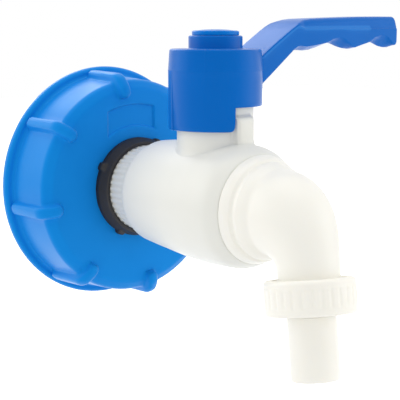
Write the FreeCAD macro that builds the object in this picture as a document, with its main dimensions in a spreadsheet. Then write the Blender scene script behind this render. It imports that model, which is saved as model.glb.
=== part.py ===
import FreeCAD, Part
import math
import os

import Sketcher

# Plastic ball tap for the outlet of a bulk liquid container.
# Millimetres. X runs along the flow from the tank cap to the spout, Z is up along the stem,
# and the lever points to +Y with the tap shut. The origin is the centre of the cap's mouth.

os.makedirs("parts", exist_ok=True)
doc = FreeCAD.newDocument("tank_valve")
sheet = doc.addObject("Spreadsheet::Sheet", "Sizes")

# Driving sizes, one named value each
SIZES = [
    ("flange_radius", 40.0, "outer radius of the cap's rear flange"),
    ("flange_thick", 3.2, "flange thickness"),
    ("flange_root", 1.6, "fillet between flange and side wall"),
    ("wall_rear_radius", 37.0, "cap side wall where it leaves the flange"),
    ("wall_front_radius", 36.0, "cap side wall at its front edge"),
    ("cap_height", 21.6, "cap mouth to its front face"),
    ("cap_edge_round", 2.6, "round between side wall and face"),
    ("cap_face_wall", 3.4, "thickness of the cap's face"),
    ("neck_thread_radius", 30.6, "root radius of the coarse 60 mm neck thread"),
    ("neck_thread_depth", 2.9, "height of the thread's ridge over its root"),
    ("neck_thread_pitch", 6.0, "pitch of that thread"),
    ("neck_thread_base", 3.6, "width of the ridge at its root"),
    ("neck_thread_tip", 1.6, "width of the ridge at its crest"),
    ("neck_lead_in", 4.0, "plain mouth before the first ridge"),
    ("neck_thread_end", 0.2, "gap between the last ridge and the gasket"),
    ("mouth_radius", 31.0, "plain mouth in front of the thread"),
    ("socket_radius", 14.0, "outside of the threaded socket inside the cap"),
    ("socket_depth", 9.0, "length of that socket behind the face wall"),
    ("pipe_thread_radius", 10.48, "half-inch pipe thread, outside"),
    ("thread_clear", 0.1, "play between screwed threads"),
    ("rib_count", 8, "grip ribs round the cap"),
    ("rib_first", -9.4, "angle of the first rib from the top"),
    ("rib_width", 4.2, "rib width"),
    ("rib_proud", 2.1, "how far a rib stands off wall and face"),
    ("rib_inner_radius", 30.4, "where a rib ends on the face"),
    ("rib_corner", 4.5, "round of a rib over the cap's edge"),
    ("rib_root", 1.5, "depth that a rib's root runs into wall and face"),
    ("panel_inner_radius", 21.5, "size panel pressed into the face, inner arc"),
    ("panel_outer_radius", 29.2, "its outer arc"),
    ("panel_angle", 52.0, "its opening angle"),
    ("panel_middle", -11.0, "its middle, from the top"),
    ("panel_depth", 0.6, "its depth"),
    ("gasket_thick", 3.0, "flat neck gasket"),
    ("gasket_inner_radius", 22.0, "its hole"),
    ("gasket_clear", 0.6, "play between gasket and thread root"),
    ("seal_floor", 1.7, "washer part of the rubber cup seal"),
    ("seal_lip", 3.6, "height of its lip round the fluted collar"),
    ("seal_lip_wall", 2.3, "thickness of the lip"),
    ("seal_ear", 1.3, "how far its four ears stand out"),
    ("seal_ear_width", 2.4, "width of an ear"),
    ("seal_ear_angle", 28.0, "angle of the first ear from the top"),
    ("seal_clear", 0.05, "play between lip and collar"),
    ("collar_radius", 14.4, "fluted collar of the valve body"),
    ("flute_count", 44, "flutes round it"),
    ("flute_depth", 0.45, "depth of a flute"),
    ("flute_width", 1.1, "width of a flute"),
    ("barrel_start", 35.6, "where the collar ends and the barrel begins"),
    ("barrel_rear_radius", 16.9, "barrel just behind its rear round"),
    ("barrel_radius", 19.2, "barrel at its widest"),
    ("barrel_wide_at", 70.0, "where it is widest"),
    ("barrel_front", 82.0, "front end of the valve body"),
    ("barrel_front_radius", 18.6, "barrel at its front end"),
    ("stem_at", 63.8, "stem axis along the flow"),
    ("tower_radius", 11.8, "stem tower"),
    ("tower_top", 41.2, "top of the stem tower"),
    ("lug_radius", 13.6, "outside of the stop lug on the tower"),
    ("lug_top", 27.0, "top of the lug"),
    ("lug_start", -13.0, "lug's first flank, angle from the flow"),
    ("lug_span", 37.0, "angle that the lug covers"),
    ("bore_radius", 6.5, "water way"),
    ("ball_radius", 10.5, "ball"),
    ("ball_bore_radius", 6.0, "hole through the ball"),
    ("ball_clear", 0.06, "play between ball and seats"),
    ("chamber_radius", 11.4, "ball chamber"),
    ("seat_inner_radius", 6.8, "hole in a seat ring"),
    ("seat_near", 6.4, "seat's near face from the ball's centre"),
    ("seat_far", 10.8, "seat's far face from the ball's centre"),
    ("tang_width", 3.6, "flat tang of the stem in the ball's slot"),
    ("tang_depth", 3.2, "depth of that slot"),
    ("tang_clear", 0.1, "play of the tang"),
    ("stem_radius", 5.0, "stem"),
    ("stem_clear", 0.08, "play of the stem in the tower"),
    ("stem_flange_radius", 6.4, "flange that keeps the stem in"),
    ("stem_flange_low", 10.7, "underside of that flange"),
    ("stem_flange_thick", 1.8, "its thickness"),
    ("washer_thick", 0.8, "thrust washer above it"),
    ("groove_depth", 1.6, "o-ring grooves on the stem"),
    ("o_ring_groove", 2.2, "width of an o-ring groove on the stem"),
    ("o_ring_low", 20.0, "height of the lower o-ring"),
    ("o_ring_high", 26.0, "height of the upper o-ring"),
    ("square_size", 7.0, "square end of the stem"),
    ("square_clear", 0.1, "play of the square in the handle"),
    ("hub_top", 46.9, "top of the handle hub"),
    ("hub_deck", 4.6, "thickness of the hub's deck"),
    ("hub_top_radius", 14.0, "hub at its top"),
    ("hub_mid_radius", 14.5, "hub at the mould's parting line"),
    ("parting_height", 40.4, "height of the parting line"),
    ("hub_inner_radius", 12.4, "inside of the skirt"),
    ("skirt_low_radius", 13.8, "outside of the skirt at its lower edge"),
    ("skirt_short", 29.7, "lower edge of the short skirt"),
    ("skirt_long", 22.5, "lower edge of the long skirt"),
    ("stop_gap", 1.0, "angle between lug and skirt at each stop"),
    ("swing", 90.0, "quarter turn of the handle"),
    ("boss_radius", 8.25, "boss on the hub"),
    ("boss_top", 50.9, "its top"),
    ("boss_bore_radius", 5.7, "recess for screw and plug"),
    ("plug_radius", 7.2, "head of the plug"),
    ("plug_head", 1.5, "its thickness"),
    ("plug_skirt", 0.8, "wall of its spigot"),
    ("plug_clear", 0.05, "play of the spigot in the boss"),
    ("plug_spigot", 1.6, "length of the spigot"),
    ("screw_radius", 1.6, "handle screw's shank"),
    ("screw_length", 9.0, "shank below its washer"),
    ("screw_head_radius", 3.0, "screw head"),
    ("screw_head_height", 1.5, "screw head height"),
    ("screw_washer_radius", 5.2, "washer under the screw head"),
    ("screw_washer_thick", 0.5, "its thickness"),
    ("lever_half_width", 7.5, "half the lever's width"),
    ("lever_reach", 74.0, "stem axis to lever tip"),
    ("lever_bend", 27.0, "where the rising arm becomes the grip"),
    ("grip_top", 56.6, "top of the grip at its bend"),
    ("grip_rise", 0.8, "rise of the grip to its tip"),
    ("grip_bottom", 46.7, "underside of the finger lobes"),
    ("finger_depth", 1.7, "depth of the notches between them"),
    ("finger_pitch", 18.0, "finger spacing"),
    ("lever_dome", 4.2, "rise of the grip's domed top above its side walls"),
    ("arm_low", 11.0, "underside of the arm at the hub, below the hub's top"),
    ("arm_high", 1.6, "top of the arm's root below the hub's top"),
    ("arm_sunk", 4.0, "how far the arm's root runs into the hub"),
    ("bend_drop", 1.4, "how far the top falls over the bend"),
    ("bend_round", 9.0, "round of the top at the bend"),
    ("lever_tip_round", 2.6, "rounds of the lever's tip"),
    ("collar_front", 88.0, "front of the elbow's collar"),
    ("collar_front_radius", 18.1, "its radius there"),
    ("collar_step_radius", 16.4, "raised disc on its front"),
    ("collar_step", 0.6, "height of that disc"),
    ("collar_edge", 1.6, "bevel round the collar's front"),
    ("collar_seat", 0.02, "gap between collar and barrel"),
    ("elbow_root_run", 2.0, "run of the fillet from the disc to the bend"),
    ("spigot_radius", 13.4, "elbow spigot screwed into the body"),
    ("elbow_ring_at", 78.6, "o-ring on the spigot, along the flow"),
    ("elbow_groove_depth", 1.4, "depth of its groove"),
    ("elbow_groove_width", 2.0, "width of its groove"),
    ("elbow_pivot_x", 93.9, "corner that the elbow bends round, along the flow"),
    ("elbow_pivot_z", -16.5, "its height"),
    ("elbow_root_radius", 12.9, "elbow where it leaves the collar"),
    ("spout_radius", 9.0, "spout tube"),
    ("spout_crossing", 104.2, "where the spout's axis crosses the flow axis"),
    ("spout_lean", 10.4, "spout leans this far forward of square to the flow"),
    ("spout_turn", -3.5, "elbow screwed home this far short of plumb"),
    ("spout_thread_top", 17.6, "where the spout's thread begins, below the flow axis"),
    ("spout_end", 22.3, "end of the spout"),
    ("nut_radius", 13.05, "hose nut between its ribs"),
    ("nut_top", 17.0, "top of the nut below the flow axis"),
    ("nut_height", 10.2, "its height"),
    ("nut_lip", 1.9, "thickness of its lip"),
    ("nut_rib_count", 30, "grip ribs round the nut"),
    ("nut_rib_height", 0.35, "height of a grip rib"),
    ("nut_rib_width", 1.9, "width of a grip rib"),
    ("nut_rib_margin", 2.4, "plain band above and below the ribs"),
    ("nut_round", 1.8, "round of the nut's edges"),
    ("tail_radius", 7.1, "hose tail"),
    ("tail_bore_radius", 5.2, "its bore"),
    ("tail_end", 46.0, "its lower end below the flow axis"),
    ("tail_flange_radius", 10.1, "flange trapped by the nut"),
    ("tail_flange_thick", 1.6, "its thickness"),
    ("tail_clear", 0.15, "play between tail and nut"),
    ("tail_neck_radius", 6.9, "tail where it passes through the nut"),
    ("tail_gasket_thick", 1.2, "flat gasket above the flange"),
]


class Size:
    """A number with the sheet expression that it comes from, so that both stay together."""

    def __init__(self, value, text):
        self.value = float(value)
        self.text = text

    def _join(self, other, sign, value):
        other_text = other.text if isinstance(other, Size) else repr(other)
        return Size(value, "(%s %s %s)" % (self.text, sign, other_text))

    def __add__(self, other):
        return self._join(other, "+", self.value + float(other))

    def __sub__(self, other):
        return self._join(other, "-", self.value - float(other))

    def __mul__(self, other):
        return self._join(other, "*", self.value * float(other))

    def __truediv__(self, other):
        return self._join(other, "/", self.value / float(other))

    def __neg__(self):
        return Size(-self.value, "(0 - %s)" % self.text)

    def __float__(self):
        return self.value


class Sizes:
    """The spreadsheet's values by name."""


size = Sizes()
for row, (alias, number, note) in enumerate(SIZES, start=1):
    sheet.set("A%d" % row, note)
    sheet.set("B%d" % row, str(number))
    sheet.setAlias("B%d" % row, alias)
    setattr(size, alias, Size(number, "Sizes.%s" % alias))
doc.recompute()

ZERO = Size(0.0, "0")
X_AXIS = FreeCAD.Vector(1, 0, 0)
Y_AXIS = FreeCAD.Vector(0, 1, 0)
Z_AXIS = FreeCAD.Vector(0, 0, 1)

# Sizes worked out from the driving ones
floor_at = size.cap_height - size.cap_face_wall
socket_back = floor_at - size.socket_depth
socket_hole = size.pipe_thread_radius + size.thread_clear
seal_top = size.cap_height + size.seal_floor
thread_room = floor_at - size.gasket_thick - size.neck_lead_in
thread_rise = thread_room - size.neck_thread_base - size.neck_thread_end
seat_stop = size.seat_far + size.ball_clear
tower_bore = size.stem_radius + size.stem_clear
nut_bottom = size.nut_top + size.nut_height
nut_lip_top = nut_bottom - size.nut_lip


def bind(thing, name, amount):
    """Sets one property from the sheet."""
    thing.setExpression(name, amount.text)


def piece(label, along=None, turn=None):
    """A new sub-part with its own frame: shifted along the flow axis, turned about it."""
    body = doc.addObject("PartDesign::Body", label)
    body.Label = label
    place(body, along, turn)
    return body


def place(thing, along=None, turn=None, up=None):
    """Puts a sub-part at its place in the valve."""
    if turn is not None:
        thing.Placement = FreeCAD.Placement(FreeCAD.Vector(), FreeCAD.Rotation(X_AXIS, turn.value))
        bind(thing, "Placement.Rotation.Angle", turn)
    if along is not None:
        bind(thing, "Placement.Base.x", along)
    if up is not None:
        bind(thing, "Placement.Base.z", up)


def place_on_spout(thing):
    """Puts a sub-part on the spout's axis: leaning with the bend, turned with the elbow."""
    thing.setExpression("Placement", (
        "placement(vector(Sizes.spout_crossing; 0; 0);"
        " rotation(vector(1; 0; 0); Sizes.spout_turn)"
        " * rotation(vector(0; 1; 0); 0 - Sizes.spout_lean))"
    ))


def datum(body, role):
    """One of a body's own origin planes or axes."""
    return next(item for item in body.Origin.OriginFeatures if item.Role == role)


def sketch_on(body, role, name, spin=None, spin_axis=None, lift=None):
    """A sketch on an origin plane, turned in its own frame or lifted off the plane."""
    sketch = body.newObject("Sketcher::SketchObject", name)
    sketch.AttachmentSupport = [(datum(body, role), "")]
    sketch.MapMode = "FlatFace"
    if spin is not None:
        turned = FreeCAD.Rotation(spin_axis, spin.value)
        sketch.AttachmentOffset = FreeCAD.Placement(FreeCAD.Vector(), turned)
        bind(sketch, "AttachmentOffset.Rotation.Angle", spin)
    if lift is not None:
        bind(sketch, "AttachmentOffset.Base.z", lift)
    return sketch


def pin(sketch, kind, geometry, end, amount):
    """Ties one coordinate of a point to the sheet."""
    if abs(amount.value) < 1e-9:
        axis = -2 if kind == "DistanceX" else -1
        sketch.addConstraint(Sketcher.Constraint("PointOnObject", geometry, end, axis))
        return
    if amount.value > 0:
        index = sketch.addConstraint(Sketcher.Constraint(kind, -1, 1, geometry, end, amount.value))
        sketch.setExpression("Constraints[%d]" % index, amount.text)
        return
    opposite = -amount
    index = sketch.addConstraint(Sketcher.Constraint(kind, geometry, end, -1, 1, opposite.value))
    sketch.setExpression("Constraints[%d]" % index, opposite.text)


def outline(sketch, corners):
    """A closed outline. A corner is (u, v), or (u, v, radius, "left" or "right") when an arc
    leads to it, with the arc's centre on that side of the way."""
    starts = []
    count = len(corners)
    for i in range(count):
        here = corners[i]
        there = corners[(i + 1) % count]
        a = FreeCAD.Vector(here[0].value, here[1].value, 0)
        b = FreeCAD.Vector(there[0].value, there[1].value, 0)
        if len(there) == 2:
            index = sketch.addGeometry(Part.LineSegment(a, b), False)
            starts.append((index, 1, 2))
            continue
        radius = there[2]
        anticlockwise = there[3] == "left"
        chord = b - a
        reach = math.sqrt(max(radius.value ** 2 - (chord.Length / 2) ** 2, 0.0))
        side = FreeCAD.Vector(-chord.y, chord.x, 0).normalize()
        centre = (a + b) * 0.5 + side * (reach if anticlockwise else -reach)
        first, last = (a, b) if anticlockwise else (b, a)
        start_angle = math.atan2(first.y - centre.y, first.x - centre.x)
        end_angle = math.atan2(last.y - centre.y, last.x - centre.x)
        circle = Part.Circle(centre, Z_AXIS, radius.value)
        index = sketch.addGeometry(Part.ArcOfCircle(circle, start_angle, end_angle), False)
        starts.append((index, 1, 2) if anticlockwise else (index, 2, 1))
        fixed = sketch.addConstraint(Sketcher.Constraint("Radius", index, radius.value))
        sketch.setExpression("Constraints[%d]" % fixed, radius.text)
    for i in range(count):
        index, start, end = starts[i]
        following, following_start, _ = starts[(i + 1) % count]
        joined = Sketcher.Constraint("Coincident", index, end, following, following_start)
        sketch.addConstraint(joined)
        pin(sketch, "DistanceX", index, start, corners[i][0])
        pin(sketch, "DistanceY", index, start, corners[i][1])


def circle(sketch, u, v, radius):
    """A circle tied to the sheet."""
    middle = FreeCAD.Vector(u.value, v.value, 0)
    index = sketch.addGeometry(Part.Circle(middle, Z_AXIS, radius.value), False)
    fixed = sketch.addConstraint(Sketcher.Constraint("Radius", index, radius.value))
    sketch.setExpression("Constraints[%d]" % fixed, radius.text)
    pin(sketch, "DistanceX", index, 3, u)
    pin(sketch, "DistanceY", index, 3, v)


def turned(body, name, corners, axis="H_Axis", cut=False, angle=None, spin=None, both=False):
    """A revolved solid or groove from an outline in the plane of flow and stem."""
    spin_axis = X_AXIS if axis == "H_Axis" else Y_AXIS
    sketch = sketch_on(body, "XZ_Plane", name + "_outline", spin, spin_axis)
    outline(sketch, corners)
    kind = "PartDesign::Groove" if cut else "PartDesign::Revolution"
    feature = body.newObject(kind, name)
    feature.Profile = sketch
    feature.ReferenceAxis = (sketch, [axis])
    feature.Midplane = both
    if angle is None:
        feature.Angle = 360.0
    else:
        bind(feature, "Angle", angle)
    sketch.Visibility = False
    return feature


def padded(body, name, sketch, length, cut=False, both=False, backward=False):
    """A pad or pocket with its length from the sheet."""
    feature = body.newObject("PartDesign::Pocket" if cut else "PartDesign::Pad", name)
    feature.Profile = sketch
    feature.SideType = "Symmetric" if both else "One side"
    feature.Reversed = backward
    bind(feature, "Length", length)
    return feature


def repeated(body, name, original, count, role):
    """Copies of a feature evenly round one of the body's axes."""
    pattern = body.newObject("PartDesign::PolarPattern", name)
    pattern.Originals = [original]
    pattern.Axis = (datum(body, role), [""])
    pattern.Angle = 360.0
    bind(pattern, "Occurrences", count)
    body.Tip = pattern
    return pattern


def rectangle(left, low, right, high):
    """The four corners of a rectangle."""
    return [(left, low), (right, low), (right, high), (left, high)]


# Screw cap: one moulding with flange, tapered wall, grip ribs, coarse thread and socket
cap = piece("screw_cap")
edge = size.flange_thick * 0.35
cap_outline = [
    (ZERO, size.mouth_radius),
    (ZERO, size.flange_radius - edge),
    (edge, size.flange_radius, edge, "right"),
    (size.flange_thick - edge, size.flange_radius),
    (size.flange_thick, size.flange_radius - edge, edge, "right"),
    (size.flange_thick, size.wall_rear_radius + size.flange_root),
    (size.flange_thick + size.flange_root, size.wall_rear_radius, size.flange_root, "left"),
    (size.cap_height - size.cap_edge_round, size.wall_front_radius),
    (size.cap_height, size.wall_front_radius - size.cap_edge_round, size.cap_edge_round, "right"),
    (size.cap_height, socket_hole),
    (socket_back, socket_hole),
    (socket_back, size.socket_radius),
    (floor_at, size.socket_radius),
    (floor_at, size.neck_thread_radius),
    (size.neck_lead_in, size.neck_thread_radius),
    (size.neck_lead_in, size.mouth_radius),
]
turned(cap, "cap_shell", cap_outline)

rib_sketch = sketch_on(cap, "XZ_Plane", "rib_outline", -size.rib_first, X_AXIS)
rib_face = size.cap_height + size.rib_proud
rib_crest = size.wall_rear_radius + size.rib_proud
rib_foot = size.wall_front_radius - size.rib_root
outline(rib_sketch, [
    (size.flange_thick * 0.5, rib_foot),
    (size.cap_height - size.rib_root, rib_foot),
    (size.cap_height - size.rib_root, size.rib_inner_radius),
    (rib_face, size.rib_inner_radius),
    (rib_face, rib_crest - size.rib_corner),
    (rib_face - size.rib_corner, rib_crest, size.rib_corner, "left"),
    (size.flange_thick * 0.5, rib_crest),
])
rib = padded(cap, "rib", rib_sketch, size.rib_width, both=True)
repeated(cap, "ribs", rib, size.rib_count, "X_Axis")

panel_low = size.cap_height - size.panel_depth
turned(
    cap,
    "size_panel",
    rectangle(panel_low, size.panel_inner_radius, size.cap_height + 1.0, size.panel_outer_radius),
    cut=True,
    angle=size.panel_angle,
    spin=-size.panel_middle,
    both=True,
)

thread_sketch = sketch_on(cap, "XZ_Plane", "thread_section")
thread_middle = size.neck_lead_in + size.neck_thread_base * 0.5
sunk_root = size.neck_thread_radius + 0.4
thread_crest = size.neck_thread_radius - size.neck_thread_depth
outline(thread_sketch, [
    (thread_middle - size.neck_thread_base * 0.5, sunk_root),
    (thread_middle - size.neck_thread_tip * 0.5, thread_crest),
    (thread_middle + size.neck_thread_tip * 0.5, thread_crest),
    (thread_middle + size.neck_thread_base * 0.5, sunk_root),
])
thread = cap.newObject("PartDesign::AdditiveHelix", "neck_thread")
thread.Profile = thread_sketch
thread.ReferenceAxis = (thread_sketch, ["H_Axis"])
thread.Mode = "pitch-height-angle"
bind(thread, "Pitch", size.neck_thread_pitch)
bind(thread, "Height", thread_rise)

# Flat rubber gasket on the cap's floor, squeezed by the tank's neck
gasket = piece("cap_gasket")
turned(gasket, "ring", rectangle(
    floor_at - size.gasket_thick,
    size.gasket_inner_radius,
    floor_at,
    size.neck_thread_radius - size.gasket_clear,
))

# Black rubber cup seal between cap and collar, with four ears
seal = piece("neck_gasket")
lip_inner = size.collar_radius + size.seal_clear
lip_outer = lip_inner + size.seal_lip_wall
lip_top = seal_top + size.seal_lip
turned(seal, "cup", [
    (size.cap_height, socket_hole),
    (size.cap_height, lip_outer),
    (seal_top, lip_outer),
    (lip_top - 0.4, lip_inner + size.seal_lip_wall * 0.45),
    (lip_top, lip_inner),
    (seal_top, lip_inner),
    (seal_top, socket_hole),
])
ear_sketch = sketch_on(seal, "XZ_Plane", "ear_outline", -size.seal_ear_angle, X_AXIS)
outline(ear_sketch, rectangle(
    size.cap_height,
    lip_outer - 0.5,
    seal_top + 0.8,
    lip_outer + size.seal_ear,
))
ear = padded(seal, "ear", ear_sketch, size.seal_ear_width, both=True)
repeated(seal, "ears", ear, Size(4, "4"), "X_Axis")

# Valve body: inlet thread, fluted collar, crowned barrel and stem tower in one moulding.
# Its frame has its origin at the ball's centre.
valve = piece("valve_body", along=size.stem_at)
inlet_end = socket_back + 0.6 - size.stem_at
collar_back = seal_top - size.stem_at
barrel_back = size.barrel_start - size.stem_at
widest = size.barrel_wide_at - size.stem_at
front = size.barrel_front - size.stem_at
shoulder = size.barrel_rear_radius - size.collar_radius
rear_run = widest - barrel_back - shoulder
rear_rise = size.barrel_radius - size.barrel_rear_radius
front_run = front - widest
front_drop = size.barrel_radius - size.barrel_front_radius
rear_sweep = (rear_run * rear_run + rear_rise * rear_rise) / (rear_rise * 2.0)
front_sweep = (front_run * front_run + front_drop * front_drop) / (front_drop * 2.0)
pipe_tip = size.pipe_thread_radius - 1.0
turned(valve, "barrel", [
    (inlet_end, ZERO),
    (front, ZERO),
    (front, size.barrel_front_radius),
    (widest, size.barrel_radius, front_sweep, "left"),
    (barrel_back + shoulder, size.barrel_rear_radius, rear_sweep, "left"),
    (barrel_back, size.collar_radius, shoulder, "left"),
    (collar_back, size.collar_radius),
    (collar_back, size.pipe_thread_radius),
    (inlet_end + 1.0, size.pipe_thread_radius),
    (inlet_end, pipe_tip),
])
tower_sketch = sketch_on(valve, "XY_Plane", "tower_outline")
circle(tower_sketch, ZERO, ZERO, size.tower_radius)
padded(valve, "tower", tower_sketch, size.tower_top)
turned(
    valve,
    "stop_lug",
    rectangle(size.tower_radius - 0.6, size.tower_radius, size.lug_radius, size.lug_top),
    axis="V_Axis",
    angle=size.lug_span,
    spin=size.lug_start,
)
flute_sketch = sketch_on(valve, "YZ_Plane", "flute_outline", lift=collar_back - 0.5)
outline(flute_sketch, [
    (-(size.flute_width * 0.5), size.collar_radius + 0.1),
    (ZERO, size.collar_radius - size.flute_depth),
    (size.flute_width * 0.5, size.collar_radius + 0.1),
])
flute = padded(valve, "flute", flute_sketch, barrel_back - collar_back, cut=True, backward=True)
repeated(valve, "flutes", flute, size.flute_count, "X_Axis")
front_bore = size.spigot_radius + size.thread_clear
spigot_room = seat_stop - 0.3
turned(valve, "water_way", [
    (inlet_end - 1.0, ZERO),
    (front + 1.0, ZERO),
    (front + 1.0, front_bore),
    (spigot_room, front_bore),
    (spigot_room, size.chamber_radius),
    (-seat_stop, size.chamber_radius),
    (-seat_stop, size.bore_radius),
    (inlet_end - 1.0, size.bore_radius),
], cut=True)
bore_sketch = sketch_on(valve, "XY_Plane", "stem_bore_outline")
circle(bore_sketch, ZERO, ZERO, tower_bore)
padded(valve, "stem_bore", bore_sketch, size.tower_top + 1.0, cut=True, backward=True)
flange_room = size.stem_flange_low + size.stem_flange_thick + size.washer_thick
room_sketch = sketch_on(valve, "XY_Plane", "flange_room_outline")
circle(room_sketch, ZERO, ZERO, size.stem_flange_radius + size.tang_clear)
padded(valve, "flange_room", room_sketch, flange_room, cut=True, backward=True)

# Ball, shut: its hole lies across the flow, with a slot on top for the stem's tang
ball = piece("ball", along=size.stem_at)
turned(ball, "sphere", [
    (-size.ball_radius, ZERO, size.ball_radius, "left"),
    (size.ball_radius, ZERO),
    (ZERO, size.ball_radius, size.ball_radius, "left"),
])
hole_sketch = sketch_on(ball, "XZ_Plane", "hole_outline")
circle(hole_sketch, ZERO, ZERO, size.ball_bore_radius)
padded(ball, "hole", hole_sketch, size.ball_radius * 2.2, cut=True, both=True)
slot_floor = size.ball_radius - size.tang_depth
slot_half = size.tang_width * 0.5 + size.tang_clear
slot_sketch = sketch_on(ball, "YZ_Plane", "slot_outline")
outline(slot_sketch, rectangle(-slot_half, slot_floor, slot_half, size.ball_radius + 1.0))
padded(ball, "slot", slot_sketch, size.ball_radius * 2.0, cut=True, both=True)

# Two seat rings, hollowed to the ball
seat_ball = size.ball_radius + size.ball_clear
seat_hollow = Size(
    math.sqrt(seat_ball.value ** 2 - size.seat_near.value ** 2),
    "(%s * %s - %s * %s) ^ 0.5" % ((seat_ball.text,) * 2 + (size.seat_near.text,) * 2),
)
seat_throat = Size(
    math.sqrt(seat_ball.value ** 2 - size.seat_inner_radius.value ** 2),
    "(%s * %s - %s * %s) ^ 0.5" % ((seat_ball.text,) * 2 + (size.seat_inner_radius.text,) * 2),
)
seat_rim = size.chamber_radius - size.ball_clear
for label, way in (("inlet_seat", -1.0), ("outlet_seat", 1.0)):
    seat = piece(label, along=size.stem_at)
    bulge = "left" if way < 0 else "right"
    turned(seat, "ring", [
        (size.seat_near * way, seat_rim),
        (size.seat_near * way, seat_hollow),
        (seat_throat * way, size.seat_inner_radius, seat_ball, bulge),
        (size.seat_far * way, size.seat_inner_radius),
        (size.seat_far * way, seat_rim),
    ])

# Stem: tang, blow-out flange, two o-ring grooves, square end, blind screw hole
stem = piece("stem", along=size.stem_at)
flange_top = size.stem_flange_low + size.stem_flange_thick
groove_floor = size.stem_radius - size.groove_depth
groove_half = size.o_ring_groove * 0.5
square_low = size.tower_top + 0.3
square_high = size.hub_top - 0.4
stem_outline = [
    (ZERO, size.stem_flange_low),
    (size.stem_flange_radius, size.stem_flange_low),
    (size.stem_flange_radius, flange_top),
    (size.stem_radius, flange_top),
]
for height in (size.o_ring_low, size.o_ring_high):
    stem_outline += [
        (size.stem_radius, height - groove_half),
        (groove_floor, height - groove_half),
        (groove_floor, height + groove_half),
        (size.stem_radius, height + groove_half),
    ]
stem_outline += [(size.stem_radius, square_low), (ZERO, square_low)]
turned(stem, "shaft", stem_outline, axis="V_Axis")
tang_sketch = sketch_on(stem, "YZ_Plane", "tang_outline")
tang_half = size.tang_width * 0.5
outline(tang_sketch, rectangle(-tang_half, slot_floor + 0.2, tang_half, size.stem_flange_low + 0.5))
padded(stem, "tang", tang_sketch, size.stem_radius * 2.0, both=True)
square_half = size.square_size * 0.5
square_sketch = sketch_on(stem, "XY_Plane", "square_outline", lift=square_low - 0.5)
outline(square_sketch, rectangle(-square_half, -square_half, square_half, square_half))
padded(stem, "square", square_sketch, square_high - square_low + 0.5)
pilot_sketch = sketch_on(stem, "XY_Plane", "pilot_outline", lift=square_high + 1.0)
circle(pilot_sketch, ZERO, ZERO, size.screw_radius + 0.03)
padded(stem, "pilot", pilot_sketch, size.screw_length + 2.0, cut=True)

washer = piece("stem_washer", along=size.stem_at)
turned(washer, "ring", rectangle(
    tower_bore,
    flange_top,
    size.stem_flange_radius,
    flange_top + size.washer_thick,
), axis="V_Axis")


def o_ring(label, middle_radius, section, along=None, turn=None, up=None):
    """A rubber ring as it sits squeezed in its groove."""
    ring = doc.addObject("Part::Torus", label)
    ring.Label = label
    bind(ring, "Radius1", middle_radius)
    bind(ring, "Radius2", section)
    place(ring, along, turn, up)
    return ring


stem_ring_section = (tower_bore - groove_floor) * 0.5 - 0.02
stem_ring_middle = (tower_bore + groove_floor) * 0.5
rings = [
    o_ring("stem_o_ring_lower", stem_ring_middle, stem_ring_section, size.stem_at, up=size.o_ring_low),
    o_ring("stem_o_ring_upper", stem_ring_middle, stem_ring_section, size.stem_at, up=size.o_ring_high),
]

# Handle: hub with a stepped stop skirt, boss, rising arm and finger grip, one moulding
handle = piece("handle", along=size.stem_at)
deck = size.hub_top - size.hub_deck
skirt_slope = (size.hub_mid_radius - size.skirt_low_radius) / (size.parting_height - size.skirt_long)
short_radius = size.skirt_low_radius + skirt_slope * (size.skirt_short - size.skirt_long)
boss_edge = size.boss_radius * 0.08
lever_sketch = sketch_on(handle, "YZ_Plane", "lever_outline")
notch = size.grip_bottom + size.finger_depth
first_lobe = size.lever_reach - size.finger_pitch * 2.65
notch_one = size.lever_reach - size.finger_pitch * 1.8
notch_two = size.lever_reach - size.finger_pitch * 0.8
half_pitch = size.finger_pitch * 0.5
lobe_sweep = (half_pitch * half_pitch + size.finger_depth * size.finger_depth) / (size.finger_depth * 2.0)
grip_high = size.grip_top + size.grip_rise
tip_round = size.lever_tip_round
arm_foot = size.hub_top_radius - size.arm_sunk
arm_under = size.hub_top - size.arm_low
outline(lever_sketch, [
    (arm_foot, arm_under),
    (size.hub_top_radius - size.arm_sunk * 0.4, arm_under),
    (first_lobe, size.grip_bottom + 0.2),
    (notch_one, notch, lobe_sweep * 1.7, "left"),
    (notch_two, notch, lobe_sweep * 0.98, "left"),
    (size.lever_reach - tip_round, size.grip_bottom + 0.4, lobe_sweep * 0.8, "left"),
    (size.lever_reach, size.grip_bottom + 0.4 + tip_round, tip_round, "left"),
    (size.lever_reach, grip_high - tip_round),
    (size.lever_reach - tip_round, grip_high, tip_round, "left"),
    (size.lever_bend + size.bend_round * 0.44, size.grip_top),
    (
        size.lever_bend - size.bend_round * 0.29,
        size.grip_top - size.bend_drop,
        size.bend_round,
        "left",
    ),
    (arm_foot, size.hub_top - size.arm_high),
])
padded(handle, "lever", lever_sketch, size.lever_half_width * 2.0, both=True)
crown_rise = size.lever_dome
lever_side = grip_high - crown_rise
half_width = size.lever_half_width
crown_radius = (half_width * half_width + crown_rise * crown_rise) / (crown_rise * 2.0)
crown_sketch = sketch_on(handle, "XZ_Plane", "crown_outline")
outline(crown_sketch, [
    (-half_width, lever_side),
    (half_width, lever_side, crown_radius, "right"),
    (half_width + 1.0, lever_side),
    (half_width + 1.0, grip_high + 2.0),
    (-half_width - 1.0, grip_high + 2.0),
    (-half_width - 1.0, lever_side),
])
padded(handle, "crown", crown_sketch, size.lever_reach * 3.0, cut=True, both=True)

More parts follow.
